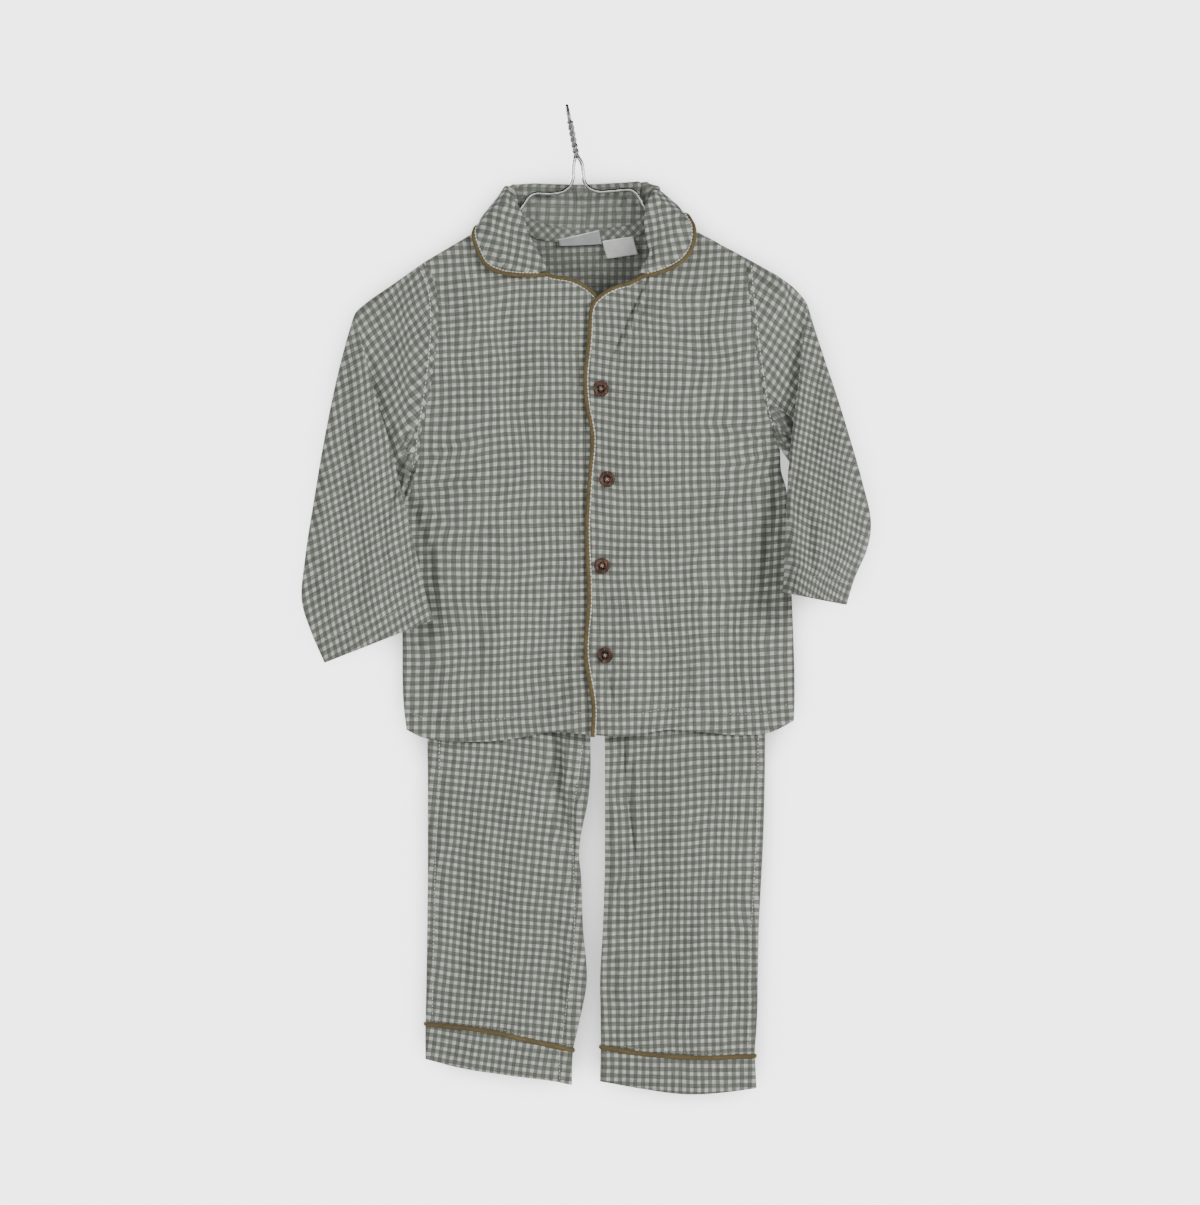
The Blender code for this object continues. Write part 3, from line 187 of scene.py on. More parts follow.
HOOK_RADIUS = 12
STEM_TOP = 15
STEM_BOTTOM = 44.5
STRAND_OFFSET = 1.3
STEM_TURNS = 3


# ---------------------------------------------------------------- curves and depths

def hermite(keys, values, at):
    """Smooth curve through a table's rows, at one key or an array of keys."""
    keys = np.asarray(keys, float)
    values = np.asarray(values, float)
    at = np.clip(np.asarray(at, float), keys[0], keys[-1])
    index = np.clip(np.searchsorted(keys, at, side="right") - 1, 0, len(keys) - 2)
    slopes = (values[1:] - values[:-1]) / (keys[1:] - keys[:-1])[:, None]
    tangents = np.vstack([slopes[:1], 0.5 * (slopes[1:] + slopes[:-1]), slopes[-1:]])
    step = (keys[index + 1] - keys[index])[..., None]
    t = (at - keys[index])[..., None] / step
    start = (1 + 2 * t) * (1 - t) ** 2 * values[index] + t * (1 - t) ** 2 * step * tangents[index]
    end = t * t * (3 - 2 * t) * values[index + 1] - t * t * (1 - t) * step * tangents[index + 1]
    return start + end


def follow(table, key):
    """Values of a table of (key, value) rows at one key or many."""
    rows = np.asarray(table, float)
    return hermite(rows[:, 0], rows[:, 1:], key)[..., 0]


def lengths_along(points):
    """Running length at each point of a line."""
    points = np.asarray(points, float)
    return np.concatenate([[0], np.cumsum(np.linalg.norm(np.diff(points, axis=0), axis=1))])


def along(points, fractions):
    """Points at fractions of the length of a smooth curve through points."""
    keys = lengths_along(points)
    return hermite(keys, points, np.asarray(fractions, float) * keys[-1])


def ease(value):
    """Smooth step from 0 to 1, level at both ends."""
    value = np.clip(value, 0, 1)
    return value * value * (3 - 2 * value)


def distance_to_line(x, drop, line):
    """Shortest distance from each point to a line of (x, drop) points."""
    best = np.full(np.broadcast(x, drop).shape, 1e9)
    for (x0, d0), (x1, d1) in zip(line[:-1], line[1:]):
        run = (x1 - x0) ** 2 + (d1 - d0) ** 2
        t = np.clip(((x - x0) * (x1 - x0) + (drop - d0) * (d1 - d0)) / run, 0, 1)
        best = np.minimum(best, np.hypot(x - x0 - t * (x1 - x0), drop - d0 - t * (d1 - d0)))
    return best


def tube_depth(edge, crown, width=CROWN_WIDTH, radius=EDGE_RADIUS):
    """Half depth of a flattened tube at a distance from its folded edge."""
    inner = 1 - np.minimum(edge / radius, 1)
    return radius * np.sqrt(1 - inner * inner) + (crown - radius) * ease(edge / width)


def side_line(outline, underarm):
    below = HEM_MIDDLE + 55
    return tuple((x, drop) for drop, x in outline if drop >= underarm) + ((outline[-1][1], below),)


BODY_EDGES = (LEFT_SHOULDER, RIGHT_SHOULDER, side_line(LEFT_OUTLINE, LEFT_UNDERARM),
              side_line(RIGHT_OUTLINE, RIGHT_UNDERARM))


def edge_distance(x, drop, lines):
    """Distance from each point to the nearest of several lines."""
    return np.minimum.reduce([distance_to_line(x, drop, line) for line in lines])


def body_depth(x, drop, side):
    """Half depth of the jacket's body on its front (-1) or back (+1)."""
    edge = edge_distance(x, drop, BODY_EDGES)
    at_side, at_middle = BODY_CROWN[side]
    across = np.minimum(np.abs(x - BODY_MIDDLE) / BODY_HALF_WIDTH, 1)
    depth = tube_depth(edge, at_side + (at_middle - at_side) * (1 - across * across))
    fade = ease((edge - 6) / 40)
    for centre, lean, half_width, height, first in BODY_WAVES[side]:
        offset = (x - centre - lean * (drop - HEM_MIDDLE)) / half_width
        depth = depth + fade * ease((drop - first) / 220) * height * np.exp(-offset * offset)
    return depth


def trouser_row(drop):
    rows = np.asarray(TROUSERS, float)
    return hermite(rows[:, 0], rows[:, 1:], drop)


def trouser_edges():
    rows = TROUSERS
    below = [row for row in rows if row[0] >= CROTCH]
    return (
        tuple((row[1], row[0]) for row in rows) + ((rows[-1][1], LEG_END),),
        tuple((row[4], row[0]) for row in rows) + ((rows[-1][4], LEG_END),),
        tuple((row[2], row[0]) for row in below) + ((rows[-1][2], LEG_END),),
        tuple((row[3], row[0]) for row in below) + ((rows[-1][3], LEG_END),),
    )


TROUSER_EDGES = trouser_edges()


def trouser_depth(x, drop, side):
    edge = edge_distance(x, drop, TROUSER_EDGES)
    crown = TROUSER_CROWN - 2.5 * (1 - ease((drop - WAIST_TOP) / 110))
    depth = tube_depth(edge, crown, TROUSER_CROWN_WIDTH)
    fade = ease((edge - 5) / 26)
    for centre, first, last, lean, half_width, height in LEG_WAVES[side]:
        strength = ease((drop - first) / 90) * (1 - ease((drop - last) / 60))
        offset = (x - centre - lean * (drop - first)) / half_width
        depth = depth + fade * strength * height * np.exp(-offset * offset)
    return depth


# ---------------------------------------------------------------- creases and crumple

CRUMPLE = np.random.default_rng(11).standard_normal((64, 64))


def soft_noise(x, drop, size):
    """Smooth seeded unevenness with bumps about size mm apart."""
    u = np.mod(x / size, 64)
    v = np.mod(drop / size, 64)
    i = np.floor(u).astype(int)
    j = np.floor(v).astype(int)
    a = ease(u - i)
    b = ease(v - j)
    i2 = (i + 1) % 64
    j2 = (j + 1) % 64
    top = CRUMPLE[i, j] * (1 - a) + CRUMPLE[i2, j] * a
    low = CRUMPLE[i, j2] * (1 - a) + CRUMPLE[i2, j2] * a
    return top * (1 - b) + low * b


def creases(x, drop, table):
    """Height of soft ridges and troughs (x, drop, x, drop, bow, half width, height).

    Each one rises and dies away along its length, bows sideways in its middle, and is sharper
    on one flank than on the other.
    """
    total = np.zeros(np.broadcast(x, drop).shape)
    for x0, d0, x1, d1, bow, half_width, height in table:
        height = height * CREASE_GAIN
        half_width = max(CREASE_NARROW * half_width, 1.6)
        run = math.hypot(x1 - x0, d1 - d0)
        ux, ud = (x1 - x0) / run, (d1 - d0) / run
        t = ((x - x0) * ux + (drop - d0) * ud) / run
        inside = np.clip(t, 0, 1)
        off = -(x - x0) * ud + (drop - d0) * ux - bow * 4 * inside * (1 - inside)
        beyond = np.maximum(np.abs(t - 0.5) - 0.5, 0) * run / half_width
        width = half_width * (0.75 + 0.5 * inside) * np.where(off > 0, 1.25, 0.8)
        taper = np.sin(np.pi * (0.06 + 0.88 * inside)) ** 0.7
        total = total + height * taper * np.exp(-((off / width) ** 2) - 1.5 * beyond ** 2)
    return total


def bell(away, width):
    """A smooth bump of height 1, a width wide to each side."""
    return np.exp(-(away / width) ** 2)


def puckers(along_mm, away, reach, height, spacing, seed):
    """Small uneven gathers across a line of stitches, which die away from it."""
    phase = along_mm / spacing + 0.8 * soft_noise(along_mm + 37 * seed, 5 * seed, 11)
    strength = 0.6 + 0.5 * soft_noise(along_mm + 91 * seed, 9 * seed, 23)
    return height * np.clip(strength, 0.1, 1.3) * bell(away, reach) * np.sin(2 * np.pi * phase)


# ---------------------------------------------------------------- meshes

def grid_faces(rows, count, ring):
    """Four-sided faces between neighbouring points of a grid."""
    r, c = np.meshgrid(np.arange(rows - 1), np.arange(count if ring else count - 1), indexing="ij")
    nxt = (c + 1) % count
    quads = np.stack([r * count + c, r * count + nxt, (r + 1) * count + nxt, (r + 1) * count + c], -1)
    return quads.reshape(-1, 4)


def finished(item, materials, replaces):
    """Link a piece, give it its materials, and ride it on the set's one body."""
    for material in materials:
        item.data.materials.append(material)
    bpy.context.scene.collection.objects.link(item)
    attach(item, "root")
    if replaces:
        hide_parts(*replaces)
    return item


def cloth(name, points, weave, material, ring=False, wall=WALL, replaces=(),
          inner_painted_shade=None):
    """A thin closed shell of cloth through a grid of points (x, depth, drop) in mm.

    weave gives each point its place in the woven pattern, in mm, or it is a pair of such grids
    and the row where the first gives way to the second.
    """
    rows, count = points.shape[:2]
    mesh = bpy.data.meshes.new(name)
    vertices = points.reshape(-1, 3) * (1, 1, -1) * MM
    mesh.from_pydata(vertices.tolist(), [], grid_faces(rows, count, ring).tolist())
    layer = mesh.uv_layers.new(name="weave")
    loops = np.zeros(len(mesh.loops), dtype=np.int32)
    mesh.loops.foreach_get("vertex_index", loops)
    if isinstance(weave, tuple):
        first, second, split = weave
        above = np.repeat(np.repeat(np.arange(rows - 1) < split, count if ring else count - 1), 4)
        places = np.where(above[:, None], first.reshape(-1, 2)[loops], second.reshape(-1, 2)[loops])
    else:
        places = weave.reshape(-1, 2)[loops]
    layer.data.foreach_set("uv", (places * MM).astype(np.float32).ravel())
    mesh.shade_smooth()
    mesh.update()
    item = bpy.data.objects.new(name, mesh)
    shell = item.modifiers.new("wall", "SOLIDIFY")
    shell.thickness = wall * MM
    shell.offset = 0
    # When given, the inner face takes the second material: a darker gingham that paints shade there.
    shell.material_offset = 1 if inner_painted_shade else 0
    return finished(item, (material, inner_painted_shade) if inner_painted_shade else (material,), replaces)


def solid(name, vertices, faces, material, slot, replaces=()):
    """A closed mesh from points in mm as (x, depth, drop)."""
    mesh = bpy.data.meshes.new(name)
    mesh.from_pydata([(x * MM, y * MM, -drop * MM) for x, y, drop in vertices], [], list(faces))
    mesh.update()
    mesh.shade_smooth()
    return finished(bpy.data.objects.new(name, mesh), (material,), replaces)


def unit(vectors):
    return vectors / np.linalg.norm(vectors, axis=-1, keepdims=True)


def joined(parts):
    """The vertices and faces of several meshes as one."""
    vertices, faces = [], []
    for points, sides in parts:
        base = len(vertices)
        vertices.extend(points)
        faces.extend(tuple(base + i for i in face) for face in sides)
    return vertices, faces


def ring_round(point, tangent, normal, size, angles, lift=0):
    """A ring of points round a line, and the normal made square to the line."""
    normal = unit(normal - tangent * tangent.dot(normal))
    other = np.cross(tangent, normal)
    ring = point + normal * lift + size * (np.cos(angles)[:, None] * normal + np.sin(angles)[:, None] * other)
    return ring.tolist(), normal


def tube_faces(count, sides, closed=False):
    """Faces between rings of vertices, with a cap at each end of an open tube."""
    faces = []
    for r in range(count if closed else count - 1):
        here, after = r * sides, (r + 1) % count * sides
        faces.extend((here + k, here + (k + 1) % sides, after + (k + 1) % sides, after + k)
                     for k in range(sides))
    if not closed:
        faces.append(tuple(reversed(range(sides))))
        faces.append(tuple((count - 1) * sides + k for k in range(sides)))
    return faces


def tube_mesh(path, radii, sides=8, closed=False):
    """Vertices and faces of a round tube along a path (x, depth, drop), with one radius or many."""
    path = np.asarray(path, float)
    if closed:
        tangents = np.roll(path, -1, axis=0) - np.roll(path, 1, axis=0)
    else:
        tangents = np.gradient(path, axis=0)
    tangents = unit(tangents)
    normal = DEPTHWARDS - tangents[0] * tangents[0].dot(DEPTHWARDS)
    if np.linalg.norm(normal) < 0.2:
        normal = np.array([1, 0, 0]) - tangents[0] * tangents[0][0]
    normal = unit(normal)
    angles = 2 * np.pi * np.arange(sides) / sides
    vertices = []
    for point, tangent, size in zip(path, tangents, np.broadcast_to(radii, len(path))):
        ring, normal = ring_round(point, tangent, normal, size, angles)
        vertices.extend(ring)
    return vertices, tube_faces(len(path), sides, closed)


def resampled(path, spacing, closed=False):
    """The same line with its points at even spacing."""
    path = np.asarray(path, float)
    if closed:
        path = np.vstack([path, path[:1]])
    keys = lengths_along(path)
    count = max(3, int(round(keys[-1] / spacing)) + 1)
    at = np.linspace(0, keys[-1], count)
    points = hermite(keys, path, at)
    return points[:-1] if closed else points


def stitches(name, lines, material, length=2.3, gap=1, radius=0.26):
    """Rows of short threads that dip into the cloth at both ends.

    lines holds (path, outward direction for each point or one direction) pairs, in mm.
    """
    sides = 5
    angles = 2 * np.pi * np.arange(sides) / sides
    faces = tube_faces(len(STITCH), sides)
    parts = []
    for path, outward in lines:
        path = np.asarray(path, float)
        outward = np.broadcast_to(np.asarray(outward, float), path.shape)
        keys = lengths_along(path)
        for start in np.arange(0.5 * gap, keys[-1] - length, length + gap):
            at = [start + share * length for share, _, _ in STITCH]
            points = hermite(keys, path, at)
            tangent = unit(points[-1] - points[0])
            vertices = []
            for point, normal, (_, lift, size) in zip(points, hermite(keys, outward, at), STITCH):
                vertices.extend(ring_round(point, tangent, normal, size * radius, angles, lift)[0])
            parts.append((vertices, faces))
    return solid(name, *joined(parts), material, "gingham")


def surface_normals(points, side):
    """Unit normals of a grid of cloth, all turned to its front (-1) or back (+1)."""
    normals = np.cross(np.gradient(points, axis=0), np.gradient(points, axis=1))
    normals /= np.linalg.norm(normals, axis=-1)[..., None] + 1e-12
    return normals * np.where(normals[..., 1:2] * side < 0, -1, 1)


def on_grid(points, side, row, column, out=0.5 * WALL):
    """A line at fractional rows and columns of a grid, moved out from the cloth, with normals."""
    row = np.clip(row, 0, points.shape[0] - 1.001)
    column = np.clip(column, 0, points.shape[1] - 1.001)
    i, j = np.floor(row).astype(int), np.floor(column).astype(int)
    a, b = (row - i)[:, None], (column - j)[:, None]

    def sample(values):
        return ((values[i, j] * (1 - a) + values[i + 1, j] * a) * (1 - b)
                + (values[i, j + 1] * (1 - a) + values[i + 1, j + 1] * a) * b)

    direction = unit(sample(surface_normals(points, side)))
    return sample(points) + direction * out, direction


# ---------------------------------------------------------------- materials

class Nodes:
    """Short calls for new nodes. Their sockets take constants or the outputs of other nodes."""

    def __init__(self, tree):
        self.tree = tree

    def put(self, socket, value):
        if hasattr(value, "is_output"):
            self.tree.links.new(value, socket)
        else:
            socket.default_value = (*value, 1) if socket.type == "RGBA" else value

    def add(self, kind, *values, **settings):
        """A node with its settings, and its first sockets in their order."""
        node = self.tree.nodes.new("ShaderNode" + kind)
        for key, value in settings.items():
            setattr(node, key, value)
        for socket, value in zip(node.inputs, values):
            self.put(socket, value)
        return node

    def fill(self, node, **values):
        """Set sockets by name, where _ stands for a space."""
        for name, value in values.items():
            self.put(node.inputs[name.replace("_", " ")], value)

    def maths(self, operation, first, second=0, third=0):
        return self.add("Math", first, second, third, operation=operation).outputs[0]

    def times(self, first, second):
        return self.maths("MULTIPLY", first, second)

    def wave(self, value, repeat):
        return self.maths("SINE", self.times(value, 2 * math.pi / repeat))

    def mapped(self, value, low, high, to_low, to_high, smooth=False):
        return self.add("MapRange", value, low, high, to_low, to_high,
                        interpolation_type="SMOOTHSTEP" if smooth else "LINEAR").outputs[0]

    def noise(self, vector, scale, detail=2, move=None, stretch=None):
        """Noise, also on a vector that is moved or stretched first."""
        if move or stretch:
            vector = self.add("Mapping", vector, move or (0, 0, 0), (0, 0, 0),
                              stretch or (1, 1, 1)).outputs[0]
        return self.add("TexNoise", vector, 0, scale, detail).outputs[0]

    def mixed(self, factor, first, second, blend="MIX"):
        node = self.add("Mix", data_type="RGBA", blend_type=blend)
        for index, value in ((0, factor), (6, first), (7, second)):
            self.put(node.inputs[index], value)
        return node.outputs[2]


class Look(Nodes):
    """A material: one shader with its nodes."""

    def __init__(self, name, colour, roughness, metallic=0):
        self.material = bpy.data.materials.new(name)
        self.material.use_nodes = True
        super().__init__(self.material.node_tree)
        self.shader = self.tree.nodes["Principled BSDF"]
        self.shade(Base_Color=colour, Roughness=roughness, Metallic=metallic)

    def shade(self, **values):
        self.fill(self.shader, **values)

    def local(self):
        return self.add("TexCoord").outputs["Object"]

    def tint(self, colour, level):
        """Colour the shader with a colour made lighter and darker by a level."""
        grey = self.add("CombineXYZ", level, level, level).outputs[0]
        self.shade(Base_Color=self.mixed(1, colour, grey, "MULTIPLY"))

    def bump(self, height, strength, distance):
        node = self.add("Bump")
        self.fill(node, Strength=strength, Distance=distance, Height=height)
        self.shade(Normal=node.outputs[0])
        return self.material


THREAD = 0.00052           # spacing of the yarns, in metres
THREAD_WANDER = 0.0024     # how far the yarns stray, in metres
GINGHAM_LIGHT = (0.62, 0.63, 0.573)
GINGHAM_MIDDLE = (0.238, 0.253, 0.222)
GINGHAM_DARK = (0.140, 0.151, 0.125)


def gingham(name, tone=1, fade=0):
    """Yarn-dyed check: two bands of yarn each way, an open plain weave, a soft brushed surface.

    fade draws the three colours together; with a tone below 1 it makes a darker, flatter copy of the cloth,
    painted shade for cloth that lies in shade inside the neck and under the arms.
    """
    look = Look(name, GINGHAM_MIDDLE, 0.9)
    place = look.add("UVMap", uv_map="weave").outputs[0]
    local = look.local()
    wander = (look.noise(place, 22, 3), look.noise(place, 26, 3, move=(3.1, 7.7, 0)))
    parts = look.add("SeparateXYZ", place).outputs
    threads = [look.maths("MULTIPLY_ADD", look.maths("SUBTRACT", off, 0.5), THREAD_WANDER, part)
               for off, part in zip(wander, parts)]
    bands = [look.mapped(look.wave(value, CHECK * MM), -0.27, 0.01, 0, 1, True) for value in threads]
    both = look.times(look.maths("ADD", *bands), 0.5)
    ramp = look.add("ValToRGB")
    stops = ramp.color_ramp.elements
    for stop, end in zip(stops, (GINGHAM_LIGHT, GINGHAM_DARK)):
        stop.color = (*[a + (m - a) * fade for a, m in zip(end, GINGHAM_MIDDLE)], 1)
    stops.new(0.5).color = (*GINGHAM_MIDDLE, 1)
    look.put(ramp.inputs[0], both)

    weave = look.times(*[look.wave(value, THREAD) for value in threads])
    slubs = look.maths("ADD", *[look.noise(place, 900, stretch=s) for s in ((1, 0.05, 1), (0.05, 1, 1))])
    patch = look.noise(local, 9, 3)
    fleck = look.noise(place, 420)
    level = look.mapped(weave, -1, 1, 0.93, 1.07)
    for change in ((slubs, 0.7, 1.3, 0.74, 1.26), (patch, 0.3, 0.7, 0.95 * tone, 1.05 * tone),
                   (fleck, 0.3, 0.7, 0.93, 1.07)):
        level = look.times(level, look.mapped(*change))
    look.tint(ramp.outputs[0], level)
    look.shade(Roughness=look.mapped(slubs, 0.7, 1.3, 0.82, 0.96), Specular_IOR_Level=0.25,
               Sheen_Weight=0.18, Sheen_Roughness=0.5)
    height = look.maths("MULTIPLY_ADD", slubs, 0.7, weave)
    height = look.maths("MULTIPLY_ADD", look.noise(place, 160, 3), 2.2, height)
    return look.bump(height, 0.35, 0.00022)


def thread_material(name, colour, roughness=0.75, sheen=0.15, gloss=0.5):
    """Twisted sewing thread or bias tape: fine ribs across it and a slight fuzz."""
    look = Look(name, colour, roughness)
    local = look.local()
    patches = look.mapped(look.noise(local, 60, 4), 0.3, 0.7, 0.78, 1.2)
    fine = look.mapped(look.noise(local, 1500), 0.3, 0.7, 0.85, 1.12)
    look.tint(colour, look.times(patches, fine))
    look.shade(Roughness=look.mapped(fine, 0.85, 1.12, roughness - 0.08, roughness + 0.12),
               Sheen_Weight=sheen, Specular_IOR_Level=gloss)
    return look.bump(look.noise(local, 1800), 0.4, 0.0002)


PIPING_COLOUR = (0.140, 0.105, 0.040)
GINGHAM = gingham("gingham_cloth")
# A darker, flatter copy of the gingham: painted shade for the inside of the neck, the neck tape and the
# bunches under the arms.
GINGHAM_PAINTED_SHADE = gingham("gingham_painted_shade", 0.86, 0.34)
GINGHAM_TROUSERS = gingham("gingham_trousers", 0.97)
PIPING = thread_material("ochre_piping", PIPING_COLOUR, 0.8)
PALE_THREAD = thread_material("pale_thread", (0.92, 0.92, 0.88))
SAGE_THREAD = thread_material("sage_thread", (0.50, 0.51, 0.46))


# ---------------------------------------------------------------- jacket body

FOLD_STEPS = np.array([0, 0.12, 0.45, 1, 1.8, 2.9, 4.4])   # mm from a folded edge


def spread(length, spacing=GRID, end=True):
    """Places along a length, closer together at the ends that are folded."""
    last = length - FOLD_STEPS[::-1] if end else np.array([length])
    count = max(3, int(round((last[0] - FOLD_STEPS[-1]) / spacing)) + 1)
    return np.concatenate([FOLD_STEPS, np.linspace(FOLD_STEPS[-1], last[0], count)[1:-1], last])


def top_line(stretches, spacing=GRID):
    """Fractions across and points (x, drop) of a panel's upper edge, from its smooth stretches."""
    runs = [lengths_along(points)[-1] for points in stretches]
    total = sum(runs)
    places = spread(total, spacing)
    across = places / total
    points = np.zeros((len(places), 2))
    done = 0
    for line, run in zip(stretches, runs):
        inside = (places >= done - 1e-9) & (places <= done + run + 1e-9)
        points[inside] = along(line, (places[inside] - done) / run)
        done += run
    return across, points[:, 0], points[:, 1]


def panel_plan(top, left, right, hem, spacing):
    """x and drop of a jacket panel's points, rows from its upper edge to its hem."""
    across, top_x, top_drop = top
    first, last = LEFT_OUTLINE[0][1], RIGHT_OUTLINE[0][1]
    under = LEFT_UNDERARM + (RIGHT_UNDERARM - LEFT_UNDERARM) * np.clip((top_x - first) / (last - first), 0, 1)
    left_hem, right_hem = left(HEM[0][1]), right(HEM[0][1])
    end = hem(left_hem + (right_hem - left_hem) * across)
    armhole = spread(float(np.mean(under - top_drop)), spacing, False)
    armhole = armhole / armhole[-1]
    below = np.linspace(0, 1, int(round((HEM_MIDDLE - RIGHT_UNDERARM) / spacing)))[1:]
    drop = np.concatenate([top_drop + (under - top_drop) * armhole[:, None],
                           under + (end - under) * below[:, None]])
    shift = top_x - (left(top_drop) + (right(top_drop) - left(top_drop)) * across)
    keep = np.maximum(1 - (drop - top_drop) / TOP_SHAPE_REACH, 0) ** 2
    x = left(drop) + (right(drop) - left(drop)) * across + shift * keep
    return x, drop, len(armhole)


def outline(table):
    return lambda key: follow(table, key)


left_outline, right_outline = outline(LEFT_OUTLINE), outline(RIGHT_OUTLINE)
under_edge, front_edge, front_hem = outline(UNDER_EDGE), outline(FRONT_EDGE), outline(HEM)


def back_hem(x):
    return front_hem(x) - BACK_HEM_RISE


def under_tuck(x, drop):
    """How far the under front is pressed back by the front that laps over it."""
    beside_lap = bell(x - front_edge(drop) + 3.2, 2.6) * ease((drop - 180) / 12)
    return LAP_TUCK * ease((x - 2) / 16) * ease((drop - 158) / 10) + 0.7 * beside_lap


ARMHOLE_LINES = (tuple((x, drop) for drop, x in LEFT_OUTLINE if drop <= LEFT_UNDERARM),
                 tuple((x, drop) for drop, x in RIGHT_OUTLINE if drop <= RIGHT_UNDERARM))

FRONT_CREASES = (
    # from the left shoulder and collar down the chest
    (-92, 150, -60, 235, 6, 9, 0.9), (-66, 158, -42, 300, -5, 11, -1), (-108, 168, -86, 262, 4, 7, -0.7),
    (-28, 168, -10, 262, 5, 9, 0.8), (-2, 176, 10, 250, -3, 7, -0.7),
    # fan of pulls towards the left underarm
    (-134, 326, -62, 300, -6, 8, 1), (-137, 334, -78, 338, 3, 7, -1), (-142, 342, -96, 382, 4, 8, 0.9),
    (-146, 352, -118, 432, -4, 8, -0.8),
    # right shoulder and chest
    (98, 140, 84, 238, 4, 8, 0.9), (126, 140, 112, 250, -5, 9, -0.9), (75, 158, 68.5, 188, 1, 3.4, -0.5),
    (68.5, 184, 51, 214, -2, 3.4, -0.5), (70, 161, 63, 190, 1, 3.2, 0.7), (66, 180, 46, 213, 1, 3, 0.5),
    # drag lines from the last button and puckers beside the placket
    (13, 487, -30, 531, 3, 2.4, -0.6), (15, 496, -46, 546, 4, 3.4, 0.7), (16, 506, -36, 551, 3, 2.4, -0.6),
    (17, 520, -16, 552, 2, 3.2, 0.5), (37, 503, 43, 536, 1, 2.6, -0.5), (44, 500, 56, 534, 1, 3.4, 0.5),
    (31, 416, 29, 440, 0.5, 2.2, -0.3), (34, 330, 44, 318, 0.5, 2.2, -0.4), (52, 331, 82, 312, 3, 2.6, -0.5),
    (48, 349, 74, 362, 2, 2.6, -0.4), (13, 330, -10, 318, 1, 2.6, 0.4), (13, 262, -8, 240, 1, 2.8, 0.4),
    (80, 163, 76, 205, 2, 5, 1), (150, 150, 158, 226, 4, 8, 0.8), (48, 176, 44, 240, -3, 7, -0.7),
    # pulls at the right underarm
    (186, 302, 118, 286, 6, 8, 1), (189, 309, 136, 322, -4, 7, -1), (192, 318, 158, 366, 4, 8, 1),
    (196, 342, 178, 432, 4, 8, -0.9),
    # short pulls at the buttons
    (36, 256, 66, 268, 2, 5, 0.6), (40, 337, 76, 330, -2, 5, 0.6), (38, 415, 70, 428, 3, 5, 0.6),
    (40, 495, 74, 488, -2, 5, 0.6), (14, 262, -18, 284, -3, 6, -0.6), (14, 344, -20, 338, 3, 6, -0.5),
    (14, 420, -16, 440, -2, 6, -0.6),
    # long low folds to the hem
    (-112, 402, -104, 556, 5, 13, 1.2), (-84, 388, -88, 552, -6, 11, -1.1), (-52, 350, -58, 556, 5, 13, 0.9),
    (-8, 402, -2, 552, -4, 8, -0.9), (8, 458, 10, 556, 2, 6, 0.8), (88, 372, 92, 552, 5, 12, -1),
    (114, 392, 112, 556, -5, 11, 1), (150, 420, 154, 556, 4, 10, -0.9), (176, 440, 182, 556, 3, 8, 0.9),
    (56, 408, 52, 552, -3, 9, 0.8),
)
BACK_CREASES = (
    (-60, 130, -84, 260, 6, 11, 0.9), (-20, 140, -32, 300, -5, 12, -0.9), (20, 150, 22, 330, 4, 13, 0.8),
    (66, 136, 84, 262, -6, 11, -0.9), (110, 140, 130, 250, 5, 9, 0.9), (-110, 190, -102, 292, 4, 8, -0.8),
    (-134, 328, -70, 352, -5, 9, 1), (-140, 344, -92, 402, 5, 9, -0.9), (186, 304, 122, 330, 5, 9, 1),
    (192, 324, 148, 392, -5, 9, -0.9), (-100, 380, -108, 552, 5, 12, 1.1), (-44, 372, -50, 552, -5, 13, -1),
    (6, 400, 8, 552, 4, 12, 1), (60, 380, 66, 552, -5, 12, -1), (116, 392, 120, 552, 5, 12, 1),
    (166, 410, 172, 552, -4, 9, -0.8),
)
FOLDS = (                  # sharp folds of the fronts: x, drop, x, drop, bow, half width, depth
    (73, 152, 38, 230, -1.5, 2, 3.6), (76.2, 153, 41.2, 231, -1.5, 1.8, -2.6),
    (-19, 176, 9, 229, -1.5, 2.2, 1.5), (15, 492, -28, 536, 4, 1.8, 1.6), (17, 512, -22, 550, 3, 1.8, 1.3),
    (-139, 331, -96, 322, -3, 1.8, 1.5), (-142, 340, -112, 352, 2, 1.8, 1.4),
    (-134, 286, -138, 326, -2, 2, 4.5), (110.5, 476, 112.5, 560, 0.6, 2.6, 1.8),
    (190, 306, 156, 300, 3, 1.8, 1.5), (193, 316, 170, 336, 2, 1.8, 1.3), (-128, 152, -112, 190, 3, 2, 1.2),
    (146, 146, 138, 186, -3, 2, 1.2), (38, 505, 43, 540, 1, 1.8, 1.2), (46, 500, 55, 536, 1, 1.8, 0.9),
)
HEM_DEPTH = 19           # of the jacket's turned hem
ARMHOLE_RIDGE = 2.4      # from the armhole to the ridge over its seam's allowance
NECK_LINES = {-1: (LEFT_NECK, RIGHT_NECK), 1: (BACK_NECK,)}


